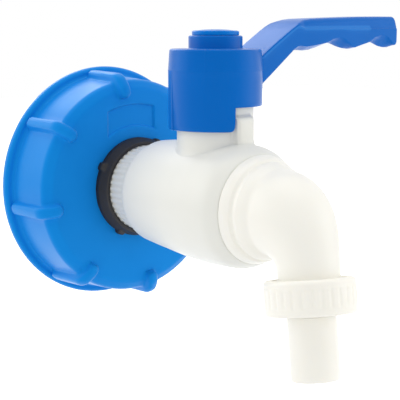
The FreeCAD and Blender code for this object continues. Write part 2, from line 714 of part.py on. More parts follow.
turned(handle, "hub", [
    (ZERO, size.skirt_short),
    (short_radius, size.skirt_short),
    (size.hub_mid_radius, size.parting_height),
    (size.hub_top_radius, size.hub_top - boss_edge),
    (size.hub_top_radius - boss_edge, size.hub_top, boss_edge, "left"),
    (size.boss_radius, size.hub_top),
    (size.boss_radius, size.boss_top - boss_edge),
    (size.boss_radius - boss_edge, size.boss_top, boss_edge, "left"),
    (ZERO, size.boss_top),
], axis="V_Axis")
long_span = Size(360.0, "360") - size.lug_span - size.swing - size.stop_gap * 2.0
long_start = size.lug_start + size.lug_span + size.stop_gap + size.swing
turned(handle, "long_skirt", [
    (size.hub_inner_radius - 0.4, size.skirt_long),
    (size.skirt_low_radius, size.skirt_long),
    (short_radius, size.skirt_short),
    (short_radius - 0.4, size.skirt_short + 1.0),
    (size.hub_inner_radius - 0.4, size.skirt_short + 1.0),
], axis="V_Axis", angle=long_span, spin=long_start)
turned(handle, "hub_hollow", rectangle(
    ZERO,
    size.skirt_long - 1.0,
    size.hub_inner_radius,
    deck,
), axis="V_Axis", cut=True)
recess_sketch = sketch_on(handle, "XY_Plane", "recess_outline", lift=size.hub_top)
circle(recess_sketch, ZERO, ZERO, size.boss_bore_radius)
padded(handle, "screw_recess", recess_sketch, size.boss_top - size.hub_top + 1.0, cut=True, backward=True)
socket_half = square_half + size.square_clear
socket_sketch = sketch_on(handle, "XY_Plane", "socket_outline", lift=deck - 1.0)
outline(socket_sketch, rectangle(-socket_half, -socket_half, socket_half, socket_half))
padded(handle, "stem_socket", socket_sketch, size.hub_deck + 2.0, cut=True, backward=True)

# Screw, its washer and the snap plug that covers them
screw_washer = piece("screw_washer", along=size.stem_at)
head_seat = size.hub_top + size.screw_washer_thick
turned(screw_washer, "ring", rectangle(
    size.screw_radius + 0.1,
    size.hub_top,
    size.screw_washer_radius,
    head_seat,
), axis="V_Axis")
screw = piece("handle_screw", along=size.stem_at)
screw_tip = size.hub_top - size.screw_length
turned(screw, "screw", [
    (ZERO, screw_tip),
    (size.screw_radius, screw_tip + size.screw_radius),
    (size.screw_radius, head_seat),
    (size.screw_head_radius, head_seat),
    (size.screw_head_radius, head_seat + size.screw_head_height * 0.6),
    (size.screw_head_radius * 0.7, head_seat + size.screw_head_height),
    (ZERO, head_seat + size.screw_head_height),
], axis="V_Axis")
plug = piece("handle_plug", along=size.stem_at)
spigot_outer = size.boss_bore_radius - size.plug_clear
plug_top = size.boss_top + size.plug_head
turned(plug, "plug", [
    (ZERO, size.boss_top),
    (spigot_outer - size.plug_skirt, size.boss_top),
    (spigot_outer - size.plug_skirt, size.boss_top - size.plug_spigot),
    (spigot_outer, size.boss_top - size.plug_spigot),
    (spigot_outer, size.boss_top),
    (size.plug_radius, size.boss_top),
    (size.plug_radius, plug_top - 0.4),
    (size.plug_radius - 0.4, plug_top),
    (ZERO, plug_top + 0.3),
], axis="V_Axis")

# Outlet elbow: screwed spigot, stepped collar, bend that tapers round a tight corner, threaded spout
spigot_back = size.stem_at.value + seat_stop.value
lean = math.radians(size.spout_lean.value)
spout_way = FreeCAD.Vector(math.sin(lean), 0, -math.cos(lean))
spout_front = FreeCAD.Vector(math.cos(lean), 0, math.sin(lean))
spout_crossing = FreeCAD.Vector(size.spout_crossing.value, 0, 0)
pivot = FreeCAD.Vector(size.elbow_pivot_x.value, 0, size.elbow_pivot_z.value)
spout_root = (pivot - spout_crossing).dot(spout_way)


def station(share, reach_start, reach_end, radius_start, radius_end):
    """A circle across the bend, from the collar (0) to the spout (1)."""
    ease = share * share * (3.0 - 2.0 * share)
    turned_by = (90.0 - size.spout_lean.value) * share
    angle = math.radians(90.0 - turned_by)
    reach = reach_start + (reach_end - reach_start) * ease
    radius = radius_start + (radius_end - radius_start) * ease
    middle = pivot + FreeCAD.Vector(math.cos(angle), 0, math.sin(angle)) * reach
    ring = Part.makeCircle(radius)
    ring.rotate(FreeCAD.Vector(), Z_AXIS, 90.0)
    ring.rotate(FreeCAD.Vector(), Y_AXIS, 90.0 + turned_by)
    ring.translate(middle)
    return middle, Part.Wire(ring)


def bend(radius_start, radius_end):
    """The swept bend, solid, for the outside and for the water way."""
    reach_start = -pivot.z
    reach_end = (spout_crossing - pivot).dot(spout_front)
    stations = [
        station(step / 8.0, reach_start, reach_end, radius_start, radius_end)
        for step in range(9)
    ]
    middle_line = Part.BSplineCurve()
    middle_line.interpolate(
        [middle for middle, ring in stations],
        InitialTangent=X_AXIS,
        FinalTangent=spout_way,
    )
    rings = [ring for middle, ring in stations[::2]]
    return Part.Wire(middle_line.toShape()).makePipeShell(rings, True, False)


def spun(points):
    """A solid of revolution about the flow axis."""
    closed = points + [points[0]]
    wire = Part.makePolygon([FreeCAD.Vector(x, 0, radius) for x, radius in closed])
    return Part.Face(wire).revolve(FreeCAD.Vector(), -X_AXIS, 360)


def spout_rod(radius, high, low):
    """A cylinder on the spout's axis between two depths."""
    base = spout_crossing + spout_way * low
    return Part.makeCylinder(radius, low - high, base, spout_way * -1.0)


def elbow_shape():
    """The whole moulding."""
    bevel = size.collar_edge.value
    back = size.barrel_front.value + size.collar_seat.value
    end = size.collar_front.value
    step_front = end + size.collar_step.value
    ring_floor = size.spigot_radius.value - size.elbow_groove_depth.value
    ring_low = size.elbow_ring_at.value - size.elbow_groove_width.value / 2
    ring_high = size.elbow_ring_at.value + size.elbow_groove_width.value / 2
    outside = spun([
        (spigot_back, 0),
        (spigot_back, size.spigot_radius.value),
        (ring_low, size.spigot_radius.value),
        (ring_low, ring_floor),
        (ring_high, ring_floor),
        (ring_high, size.spigot_radius.value),
        (back, size.spigot_radius.value),
        (back, size.barrel_front_radius.value),
        (end - bevel, size.collar_front_radius.value),
        (end - bevel * 0.3, size.collar_front_radius.value - bevel * 0.3),
        (end, size.collar_front_radius.value - bevel),
        (end, size.collar_step_radius.value),
        (step_front, size.collar_step_radius.value - size.collar_step.value * 0.7),
        (step_front + size.elbow_root_run.value, size.elbow_root_radius.value + size.collar_step.value),
        (pivot.x, size.elbow_root_radius.value),
        (pivot.x, 0),
    ])
    thread_top = size.spout_thread_top.value
    outside = outside.fuse(bend(size.elbow_root_radius.value, size.spout_radius.value))
    outside = outside.fuse(spout_rod(size.spout_radius.value, spout_root, thread_top + 1.0))
    outside = outside.fuse(spout_rod(size.pipe_thread_radius.value, thread_top, size.spout_end.value))
    bore = size.bore_radius.value
    inside = spun([(spigot_back - 1, 0), (spigot_back - 1, bore),
                   (pivot.x, bore), (pivot.x, 0)])
    inside = inside.fuse(bend(bore, bore))
    inside = inside.fuse(spout_rod(bore, spout_root, size.spout_end.value + 1.0))
    return outside.cut(inside).removeSplitter()


elbow = doc.addObject("Part::Feature", "outlet_elbow")
elbow.Label = "outlet_elbow"
elbow.Shape = elbow_shape()
place(elbow, turn=size.spout_turn)

elbow_ring_floor = size.spigot_radius - size.elbow_groove_depth
elbow_ring_middle = (front_bore + elbow_ring_floor) * 0.5
elbow_ring_section = (front_bore - elbow_ring_floor) * 0.5 - 0.02
elbow_ring = doc.addObject("Part::Torus", "elbow_o_ring")
elbow_ring.Label = "elbow_o_ring"
bind(elbow_ring, "Radius1", elbow_ring_middle)
bind(elbow_ring, "Radius2", elbow_ring_section)
elbow_ring.Placement = FreeCAD.Placement(FreeCAD.Vector(), FreeCAD.Rotation(Y_AXIS, 90))
bind(elbow_ring, "Placement.Base.x", size.elbow_ring_at)

# Hose nut, gasket and tail on the spout's leaning axis
nut = piece("hose_nut")
place_on_spout(nut)
nut_bore = size.pipe_thread_radius + size.thread_clear
lip_hole = size.tail_radius + size.tail_clear
turned(nut, "nut", [
    (nut_bore, -size.nut_top),
    (nut_bore, -nut_lip_top),
    (lip_hole, -nut_lip_top),
    (lip_hole, -nut_bottom),
    (size.nut_radius - size.nut_round, -nut_bottom),
    (size.nut_radius, -nut_bottom + size.nut_round, size.nut_round, "left"),
    (size.nut_radius, -size.nut_top - size.nut_round),
    (size.nut_radius - size.nut_round, -size.nut_top, size.nut_round, "left"),
], axis="V_Axis")
nut_rib_sketch = sketch_on(nut, "XY_Plane", "nut_rib_outline", lift=-nut_bottom + size.nut_rib_margin)
nut_rib_half = size.nut_rib_width * 0.5
nut_rib_crest = nut_rib_half - size.nut_rib_height * 0.6
outline(nut_rib_sketch, [
    (size.nut_radius - 0.3, -nut_rib_half),
    (size.nut_radius + size.nut_rib_height, -nut_rib_crest),
    (size.nut_radius + size.nut_rib_height, nut_rib_crest),
    (size.nut_radius - 0.3, nut_rib_half),
])
nut_rib = padded(nut, "nut_rib", nut_rib_sketch, size.nut_height - size.nut_rib_margin * 2.0)
repeated(nut, "nut_ribs", nut_rib, size.nut_rib_count, "Z_Axis")

flange_low = nut_lip_top - size.tail_clear
flange_high = flange_low - size.tail_flange_thick
tail_step = nut_bottom + 0.5
tail = piece("hose_tail")
place_on_spout(tail)
turned(tail, "tail", [
    (size.tail_bore_radius, -flange_high),
    (size.tail_bore_radius, -size.tail_end),
    (size.tail_radius - 1.2, -size.tail_end),
    (size.tail_radius - 0.35, -size.tail_end + 0.35),
    (size.tail_radius, -size.tail_end + 1.2),
    (size.tail_radius, -tail_step),
    (size.tail_neck_radius, -tail_step),
    (size.tail_neck_radius, -flange_low),
    (size.tail_flange_radius, -flange_low),
    (size.tail_flange_radius, -flange_high),
], axis="V_Axis")
tail_gasket = piece("hose_tail_gasket")
place_on_spout(tail_gasket)
turned(tail_gasket, "ring", rectangle(
    size.tail_bore_radius,
    -flange_high,
    size.tail_flange_radius - 0.2,
    -flange_high + size.tail_gasket_thick,
), axis="V_Axis")

doc.recompute()


def solid_pieces():
    """The sub-parts, each with the node name that it is stored under."""
    kinds = ("PartDesign::Body", "Part::Torus")
    return [thing for thing in doc.Objects if thing.TypeId in kinds or thing is elbow]


for thing in doc.Objects:
    if "Invalid" in thing.State or "Error" in thing.State:
        raise RuntimeError("failed: %s %s" % (thing.Name, thing.State))
for thing in solid_pieces():
    if thing.Shape.isNull() or not thing.Shape.isValid() or len(thing.Shape.Solids) != 1:
        raise RuntimeError("bad shape: %s" % thing.Label)
for thing in solid_pieces():
    thing.Shape.exportStep("parts/%s.step" % thing.Label)
    print("%-20s %10.1f mm3" % (thing.Label, thing.Shape.Volume))
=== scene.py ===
import math

import bmesh
import bpy
from mathutils import Matrix, Vector


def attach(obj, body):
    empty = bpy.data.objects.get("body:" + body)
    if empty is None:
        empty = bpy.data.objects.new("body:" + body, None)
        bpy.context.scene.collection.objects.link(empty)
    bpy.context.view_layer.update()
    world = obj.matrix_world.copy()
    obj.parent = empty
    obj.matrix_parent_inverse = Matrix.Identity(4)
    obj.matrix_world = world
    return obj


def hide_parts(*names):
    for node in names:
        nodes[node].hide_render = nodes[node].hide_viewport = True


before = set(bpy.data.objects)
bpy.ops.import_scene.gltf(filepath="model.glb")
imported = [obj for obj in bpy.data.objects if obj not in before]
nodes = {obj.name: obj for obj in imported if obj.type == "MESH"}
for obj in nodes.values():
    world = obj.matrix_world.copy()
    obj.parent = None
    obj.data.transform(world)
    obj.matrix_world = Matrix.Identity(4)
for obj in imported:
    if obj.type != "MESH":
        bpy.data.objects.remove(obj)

scene = bpy.context.scene
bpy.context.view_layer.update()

# SCREW CAP
# The blue cap that screws on the container's outlet neck, injection moulded in polypropylene:
# a turned rim, a tapering wall, eight grip ribs that wrap on to the face, a sunk bare panel,
# a coarse thread inside and a socket for the valve.
# Sizes are in millimetres and angles in degrees, except where a comment says metres.
MM = 0.001
CAP_HEIGHT = 21.6
CAP_FLOOR = 18.2
CAP_MOUTH_RADIUS = 31.0
CAP_RIM_RADIUS = 40.0
CAP_RIM_THICK = 3.2
CAP_WALL_FOOT_RADIUS = 37.1
CAP_WALL_TOP_RADIUS = 36.1
CAP_FACE_RADIUS = 33.2
CAP_BEVEL = 1.7
CAP_HOLE_RADIUS = 10.6
SOCKET_RADIUS = 14.0
SOCKET_END = 9.2
NECK_LEAD_IN = 4.0
NECK_ROOT_RADIUS = 30.6
NECK_RIDGE_HEIGHT = 2.9
NECK_RIDGE_FROM = 5.8
NECK_THREAD_PITCH = 6.0
NECK_THREAD_ANGLE = 444.0
NECK_THREAD_PARTS = 133
CAP_RIB_COUNT = 8
CAP_RIB_FIRST = -9.4
CAP_RIB_PROUD = 2.25
CAP_RIB_SWELL = 0.5
CAP_RIB_HALF = 2.1
CAP_RIB_END_RADIUS = 30.4
CAP_RIB_PARALLEL_RADIUS = 27.0
CAP_FIRST_COLUMN = CAP_RIB_FIRST - 5.0
CAP_RIB_CLEAR = 5.2
CAP_GAP_COLUMNS = 9
PANEL_INNER, PANEL_OUTER = 20.6, 28.0
PANEL_LEFT, PANEL_RIGHT = -11.4, 7.5
PANEL_DEPTH = 0.65
# Share of the panel's depth at a distance inside its edge.
PANEL_EDGE = [(-0.15, 0.0), (0.0, 0.2), (0.3, 1.0)]
PANEL_FINE_FROM = -36.3
PANEL_FINE_STEP = 0.6
PANEL_FINE_COLUMNS = 96
PANEL_RIB_CLEAR = 6.6
CAP_BLUE = "188ce2"
CAP_BLUE_DEEP = "1284da"


def linear(hex_colour):
    """A linear colour from an sRGB hex value."""
    channels = [int(hex_colour[i:i + 2], 16) / 255 for i in (0, 2, 4)]
    values = [c / 12.92 if c <= 0.04045 else ((c + 0.055) / 1.055) ** 2.4 for c in channels]
    return (*values, 1.0)


def add(tree, kind, settings=None, links=None):
    """A shader node with its settings; links maps an input to a (node, output) pair."""
    made = tree.nodes.new(kind)
    for name, value in (settings or {}).items():
        if name in made.inputs:
            made.inputs[name].default_value = value
        else:
            setattr(made, name, value)
    for name, (source, output) in (links or {}).items():
        tree.links.new(source.outputs[output], made.inputs[name])
    return made


ARC_STEP = math.radians(14)


def polyline(corners, step, closed=True):
    """Outline points from corners (u, v, round): rounds become arcs, long runs are divided."""
    count = len(corners)
    points = []
    for i, corner in enumerate(corners):
        here = Vector(corner[:2])
        wanted = corner[2] if len(corner) > 2 else 0.0
        if wanted == 0.0 or (not closed and i in (0, count - 1)):
            points.append(here)
            continue
        before = Vector(corners[i - 1][:2]) - here
        after = Vector(corners[(i + 1) % count][:2]) - here
        turn = math.pi - before.angle(after)
        run = min(wanted * math.tan(turn / 2), before.length * 0.49, after.length * 0.49)
        radius = run / math.tan(turn / 2)
        middle = here + (before.normalized() + after.normalized()).normalized() * (
            radius / math.cos(turn / 2))
        first = here + before.normalized() * run - middle
        last = here + after.normalized() * run - middle
        parts = max(3, math.ceil(turn / ARC_STEP))
        for k in range(parts + 1):
            share = k / parts
            swing = first.angle_signed(last) * share
            points.append(middle + Matrix.Rotation(-swing, 2) @ first)
    divided = []
    for i, here in enumerate(points):
        divided.append(here)
        if i == len(points) - 1 and not closed:
            break
        there = points[(i + 1) % len(points)]
        parts = math.ceil((there - here).length / step)
        divided += [here.lerp(there, k / parts) for k in range(1, parts)]
    return divided


def normals(points):
    """A closed outline's unit normals, to the left of the way."""
    result = []
    for before, after in zip(points[-1:] + points[:-1], points[1:] + points[:1]):
        way = (after - before).normalized()
        result.append(Vector((-way.y, way.x)))
    return result


SHARP_FROM = math.radians(38)


def skinned(name, rows, closed=True):
    """A mesh object from rows of points, each row a ring joined to the next by quads."""
    cage = bmesh.new()
    rings = [[cage.verts.new(Vector(point) * MM) for point in row] for row in rows]
    count = len(rings)
    for i in range(count if closed else count - 1):
        low, high = rings[i], rings[(i + 1) % count]
        for k in range(len(low)):
            n = (k + 1) % len(low)
            cage.faces.new((low[k], low[n], high[n], high[k]))
    bmesh.ops.remove_doubles(cage, verts=cage.verts, dist=2e-6)
    bmesh.ops.recalc_face_normals(cage, faces=cage.faces)
    mesh = bpy.data.meshes.new(name)
    cage.to_mesh(mesh)
    cage.free()
    mesh.shade_smooth()
    mesh.set_sharp_from_angle(angle=SHARP_FROM)
    made = bpy.data.objects.new(name, mesh)
    scene.collection.objects.link(made)
    return made


def about_flow(x, radius, angle):
    """A point round the flow axis; the angle runs from the top towards the lever."""
    return (x, radius * math.sin(angle), radius * math.cos(angle))


def from_table(value, table):
    """Reads a curve given as (place, value) pairs."""
    if value <= table[0][0]:
        return table[0][1]
    for (a, low), (b, high) in zip(table, table[1:]):
        if value <= b:
            return low + (high - low) * (value - a) / (b - a)
    return table[-1][1]


# Half a grip rib's section: distance from its middle, and share of its height.
RIB_SECTION = [
    (0.0, 1.0), (0.7, 0.99), (1.15, 0.94), (1.5, 0.85), (1.78, 0.7), (1.95, 0.52),
    (2.07, 0.33), (2.2, 0.17), (2.45, 0.06), (2.9, 0.0),
]
panel_edges = [
    (CAP_HEIGHT, edge + step) for edge in (PANEL_OUTER, PANEL_INNER) for step in (0.3, 0.0, -0.3)]
cap_profile = polyline([
    (0, CAP_MOUTH_RADIUS), (0, CAP_RIM_RADIUS, 1.3), (CAP_RIM_THICK, CAP_RIM_RADIUS, 1.5),
    (CAP_RIM_THICK, CAP_WALL_FOOT_RADIUS, 1.3), (CAP_HEIGHT - CAP_BEVEL, CAP_WALL_TOP_RADIUS, 2.2),
    (CAP_HEIGHT, CAP_FACE_RADIUS, 2.4), (CAP_HEIGHT, CAP_RIB_END_RADIUS - 0.1), *panel_edges,
    (CAP_HEIGHT, CAP_HOLE_RADIUS, 0.4), (SOCKET_END, CAP_HOLE_RADIUS, 0.4),
    (SOCKET_END, SOCKET_RADIUS, 0.5), (CAP_FLOOR, SOCKET_RADIUS, 0.6),
    (CAP_FLOOR, NECK_ROOT_RADIUS, 0.4), (NECK_LEAD_IN, NECK_ROOT_RADIUS),
    (NECK_LEAD_IN, CAP_MOUTH_RADIUS),
], step=0.55)
cap_normals = normals(cap_profile)
travelled = [0.0]
for a, b in zip(cap_profile, cap_profile[1:]):
    travelled.append(travelled[-1] + (b - a).length)
wall_start = next(s for s, p in zip(travelled, cap_profile)
                  if p.x > CAP_RIM_THICK + 0.1 and p.y < CAP_RIM_RADIUS - 1.0)
rib_end = next(s for s, p in zip(travelled, cap_profile)
               if p.x > CAP_HEIGHT - 0.01 and p.y < CAP_RIB_END_RADIUS)
# A column of points is an angle, and on a rib also a distance from the rib's middle.
cap_columns = []
rib_pitch = 360 / CAP_RIB_COUNT
rib_offsets = [place for place, share in RIB_SECTION]
for rib in range(CAP_RIB_COUNT):
    middle = CAP_RIB_FIRST + rib * rib_pitch
    for offset in [-value for value in rib_offsets[:0:-1]] + rib_offsets:
        cap_columns.append((math.radians(middle), offset))
    for k in range(CAP_GAP_COLUMNS):
        along = (rib_pitch - 2 * CAP_RIB_CLEAR) * (k + 0.5) / CAP_GAP_COLUMNS
        cap_columns.append((math.radians(middle + CAP_RIB_CLEAR + along), 0.0))
for k in range(PANEL_FINE_COLUMNS):
    degrees = PANEL_FINE_FROM + k * PANEL_FINE_STEP
    off_rib = (degrees - CAP_RIB_FIRST + rib_pitch / 2) % rib_pitch - rib_pitch / 2
    if abs(off_rib) > PANEL_RIB_CLEAR:
        turned = (degrees - CAP_FIRST_COLUMN) % 360 + CAP_FIRST_COLUMN
        cap_columns.append((math.radians(turned), 0.0))


def column_angle(column, radius):
    """A rib keeps its width on the way in, so its columns run parallel."""
    return column[0] + column[1] / max(radius, CAP_RIB_PARALLEL_RADIUS)


cap_columns.sort(key=lambda column: column_angle(column, CAP_FACE_RADIUS - 0.2))


def cap_lift(i, column):
    """How far the moulding stands off the plain turned shape: ribs out, panel in."""
    place = cap_profile[i]
    if wall_start < travelled[i] < rib_end:
        angle = column_angle(column, place.y)
        pitch = math.tau / CAP_RIB_COUNT
        first = math.radians(CAP_RIB_FIRST)
        off = (angle - first + pitch / 2) % pitch - pitch / 2
        across = abs(off) * max(place.y, CAP_RIB_PARALLEL_RADIUS)
        to_end = min(travelled[i] - wall_start, rib_end - travelled[i])
        beyond = max(CAP_RIB_HALF - to_end, 0.0)
        reach = math.hypot(across, beyond)
        rise = CAP_RIB_PROUD + CAP_RIB_SWELL * min(place.x / CAP_HEIGHT, 1.0)
        return rise * from_table(reach, RIB_SECTION)
    if abs(place.x - CAP_HEIGHT) < 0.02:
        angle = column_angle(column, place.y)
        below_panel = math.cos(angle) < 0.5
        if below_panel:
            return 0.0
        across = place.y * math.sin(angle)
        inside = min(place.y - PANEL_INNER, PANEL_OUTER - place.y,
                     across - PANEL_LEFT, PANEL_RIGHT - across)
        return -PANEL_DEPTH * from_table(inside, PANEL_EDGE)
    return 0.0


cap_rows = []
for i, place in enumerate(cap_profile):
    row = []
    for column in cap_columns:
        lift = cap_lift(i, column)
        x = place.x + cap_normals[i].x * lift
        radius = place.y + cap_normals[i].y * lift
        row.append(about_flow(x, radius, column_angle(column, place.y)))
    cap_rows.append(row)
cap = skinned("screw_cap_moulding", cap_rows)

# The neck's thread is one ridge along a helix that sinks into the wall at both ends.
cap_thread = []
ridge_foot = NECK_ROOT_RADIUS + 0.3
for k in range(NECK_THREAD_PARTS + 1):
    angle = math.radians(k * NECK_THREAD_ANGLE / NECK_THREAD_PARTS)
    x = NECK_RIDGE_FROM + NECK_THREAD_PITCH * angle / math.tau
    fade = min(1.0, k / 8, (NECK_THREAD_PARTS - k) / 8)
    tip = NECK_ROOT_RADIUS + 0.15 - (NECK_RIDGE_HEIGHT + 0.15) * fade
    cap_thread.append([about_flow(x + u, r, angle) for u, r in (
        (-1.8, ridge_foot), (-0.9, tip + 0.15), (-0.6, tip), (0.6, tip), (0.9, tip + 0.15),
        (1.8, ridge_foot), (0.0, NECK_ROOT_RADIUS + 0.6))])
cap_thread_ridge = skinned("screw_cap_thread", cap_thread, closed=False)


# Sizes of the plastic's patterns. The tool's grain is really near a tenth of a millimetre and is
# drawn coarser, so that it shows.
POLYPROPYLENE_IOR = 1.49
COLOUR_DRIFT = 14.0
SHRINK_WAVE = 9.0
SHRINK_DEPTH = 0.12
TOOL_GRAIN = 0.5
GRAIN_DEPTH = 0.05
# The painted highlight on convex edges: how much paler they are drawn, over a range of pointiness.
EDGE_HIGHLIGHT = 0.35
EDGE_FROM, EDGE_TO = 0.57, 0.7
DYED_GLOSS = 0.32
POLISH_ROUGHNESS = 0.12
LIGHT_DEPTH = 2.5


def bare_material(name):
    """A new material with an empty node tree."""
    made = bpy.data.materials.new(name)
    made.use_nodes = True
    made.node_tree.nodes.clear()
    return made, made.node_tree


def moulded(name, colour, deep, edge_highlight, roughness, strength=0.06, translucent=0.0, tint=None,
            coat=0.0):
    """Injection-moulded plastic: a near-even colour with a painted highlight that makes convex
    edges paler, a satin skin with fine tool grain, and slow waves from shrinkage. Its index of
    refraction is that of polypropylene. A dyed plastic tints its own gloss, and a polished tool
    leaves a clear shine."""
    made, tree = bare_material(name)
    place = add(tree, "ShaderNodeTexCoord")
    clouds = add(tree, "ShaderNodeTexNoise", {"Scale": 1 / (COLOUR_DRIFT * MM), "Detail": 3.0},
                 {"Vector": (place, "Object")})
    mixed = add(tree, "ShaderNodeMix", {
        "data_type": "RGBA", "A": linear(colour), "B": linear(deep)}, {"Factor": (clouds, "Fac")})
    # Painted highlight: convex edges, found from the mesh's pointiness, are mixed towards a paler
    # colour.
    shape = add(tree, "ShaderNodeNewGeometry")
    ridge = add(tree, "ShaderNodeMapRange", {
        "From Min": EDGE_FROM, "From Max": EDGE_TO, "To Max": EDGE_HIGHLIGHT},
        {"Value": (shape, "Pointiness")})
    highlighted = add(tree, "ShaderNodeMix", {"data_type": "RGBA", "B": linear(edge_highlight)}, {
        "Factor": (ridge, "Result"), "A": (mixed, "Result")})
    grains = add(tree, "ShaderNodeTexNoise", {"Scale": 1 / (TOOL_GRAIN * MM), "Detail": 2.0},
                 {"Vector": (place, "Object")})
    gloss = add(tree, "ShaderNodeMapRange",
                {"To Min": roughness - 0.05, "To Max": roughness + 0.07},
                {"Value": (clouds, "Fac")})
    waves = add(tree, "ShaderNodeTexNoise", {"Scale": 1 / (SHRINK_WAVE * MM), "Detail": 1.0},
                {"Vector": (place, "Object")})
    slow = add(tree, "ShaderNodeBump", {"Strength": 0.25, "Distance": SHRINK_DEPTH * MM},
               {"Height": (waves, "Fac")})
    fine = add(tree, "ShaderNodeBump", {"Strength": strength, "Distance": GRAIN_DEPTH * MM},
               {"Height": (grains, "Fac"), "Normal": (slow, "Normal")})
    skin = add(tree, "ShaderNodeBsdfPrincipled", {"IOR": POLYPROPYLENE_IOR}, {
        "Base Color": (highlighted, "Result"), "Roughness": (gloss, "Result"), "Normal": (fine, "Normal")})
    if translucent:
        skin.inputs["Subsurface Weight"].default_value = translucent
        skin.inputs["Subsurface Radius"].default_value = (1.0, 0.9, 0.75)
        skin.inputs["Subsurface Scale"].default_value = LIGHT_DEPTH * MM
    if tint:
        skin.inputs["Specular Tint"].default_value = linear(tint)
        skin.inputs["Specular IOR Level"].default_value = DYED_GLOSS
    if coat:
        skin.inputs["Coat Weight"].default_value = coat
        skin.inputs["Coat Roughness"].default_value = POLISH_ROUGHNESS
    add(tree, "ShaderNodeOutputMaterial", None, {"Surface": (skin, "BSDF")})
    return made


def finished(piece, material, body, slot, *stands_for):
    """A piece gets its material, rides on its body and stands for its CAD nodes."""
    piece.data.materials.clear()
    piece.data.materials.append(material)
    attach(piece, body)
    if stands_for:
        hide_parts(*stands_for)


# The cap comes from a satin tool: an even bright blue with a soft gleam on its rim and ribs,
# and a painted highlight that makes their edges paler.
cap_plastic = moulded("blue_polypropylene_cap", CAP_BLUE, CAP_BLUE_DEEP, "3aa4ee", 0.34,
                      tint="30b0ff")
finished(cap, cap_plastic, "valve", "cap_blue", "screw_cap")
finished(cap_thread_ridge, cap_plastic, "valve", "cap_blue")

# NECK SEALS
# Two black nitrile rubber seals: the flat gasket that the container's neck presses on, inside the
# cap, and the moulded cup seal between the cap's face and the fluted collar, with four small ears.
SEAL_RADIUS = 16.7
SEAL_LIP_RADIUS = 15.5
SEAL_COLLAR_RADIUS = 14.47
SEAL_DISC_END = 23.3
SEAL_LIP_END = 26.9
SEAL_EAR_COUNT = 4
SEAL_EAR_FIRST = 28.0
SEAL_EAR_PROUD = 0.95
SEAL_EAR_END = 24.6
# Share of an ear's height, by the distance from its middle and by the place along the flow.
SEAL_EAR_ACROSS = [(0, 1), (0.7, 0.97), (1.1, 0.8), (1.3, 0.4), (1.6, 0.0)]
SEAL_EAR_ALONG = [(CAP_HEIGHT, 0.8), (21.9, 1.0), (23.6, 0.95), (24.2, 0.5), (SEAL_EAR_END, 0)]
RUBBER_BLACK = "121012"
RUBBER_BLOOM = "1d1a1d"


def rubber(name):
    """Moulded nitrile rubber: near black and matt, with a fine dull skin and a faint bloom."""
    made, tree = bare_material(name)
    place = add(tree, "ShaderNodeTexCoord")
    skin_noise = add(tree, "ShaderNodeTexNoise", {"Scale": 1 / (0.6 * MM), "Detail": 4.0},
                     {"Vector": (place, "Object")})
    bloom = add(tree, "ShaderNodeTexNoise", {"Scale": 1 / (7 * MM), "Detail": 2.0},
                {"Vector": (place, "Object")})
    mixed = add(tree, "ShaderNodeMix", {
        "data_type": "RGBA", "A": linear(RUBBER_BLACK), "B": linear(RUBBER_BLOOM)},
        {"Factor": (bloom, "Fac")})
    gloss = add(tree, "ShaderNodeMapRange", {"To Min": 0.5, "To Max": 0.68},
                {"Value": (bloom, "Fac")})
    bump = add(tree, "ShaderNodeBump", {"Strength": 0.25, "Distance": 0.04 * MM},
               {"Height": (skin_noise, "Fac")})
    skin = add(tree, "ShaderNodeBsdfPrincipled", {"IOR": 1.52}, {
        "Base Color": (mixed, "Result"), "Roughness": (gloss, "Result"), "Normal": (bump, "Normal")})
    add(tree, "ShaderNodeOutputMaterial", None, {"Surface": (skin, "BSDF")})
    return made


def carried(node, material):
    """A CAD solid whose shape is right keeps it, with a better material."""
    nodes[node].data.materials.clear()
    nodes[node].data.materials.append(material)


seal_profile = polyline([
    (CAP_HEIGHT, CAP_HOLE_RADIUS), (CAP_HEIGHT, SEAL_RADIUS, 0.25),
    (SEAL_DISC_END, SEAL_RADIUS, 0.6), (SEAL_LIP_END - 0.2, SEAL_LIP_RADIUS, 0.5),
    (SEAL_LIP_END, SEAL_COLLAR_RADIUS, 0.2), (SEAL_DISC_END, SEAL_COLLAR_RADIUS),
    (SEAL_DISC_END, CAP_HOLE_RADIUS),
], step=0.4)
seal_columns = []
for ear in range(SEAL_EAR_COUNT):
    ear_at = SEAL_EAR_FIRST + 90 * ear
    seal_columns += [
        math.radians(ear_at) + offset / SEAL_RADIUS
        for offset in (-1.9, -1.5, -1.3, -1.15, -0.9, -0.5, 0, 0.5, 0.9, 1.15, 1.3, 1.5, 1.9)]
    seal_columns += [math.radians(ear_at + 8 + 74 * k / 15) for k in range(16)]
seal_columns.sort()
seal_rows = []
for place in seal_profile:
    row = []
    on_outside = place.y > SEAL_LIP_RADIUS - 0.2 and CAP_HEIGHT + 0.02 < place.x < SEAL_EAR_END
    for angle in seal_columns:
        off = (angle - math.radians(SEAL_EAR_FIRST) + math.pi / 4) % (math.pi / 2) - math.pi / 4
        lift = 0.0
        if on_outside:
            lift = SEAL_EAR_PROUD * from_table(abs(off) * SEAL_RADIUS, SEAL_EAR_ACROSS)
            lift *= from_table(place.x, SEAL_EAR_ALONG)
        row.append(about_flow(place.x, place.y + lift, angle))
    seal_rows.append(row)
seal = skinned("cup_seal", seal_rows)
seal_rubber = rubber("black_nitrile_rubber")
finished(seal, seal_rubber, "valve", "black_rubber", "neck_gasket")
carried("cap_gasket", seal_rubber)

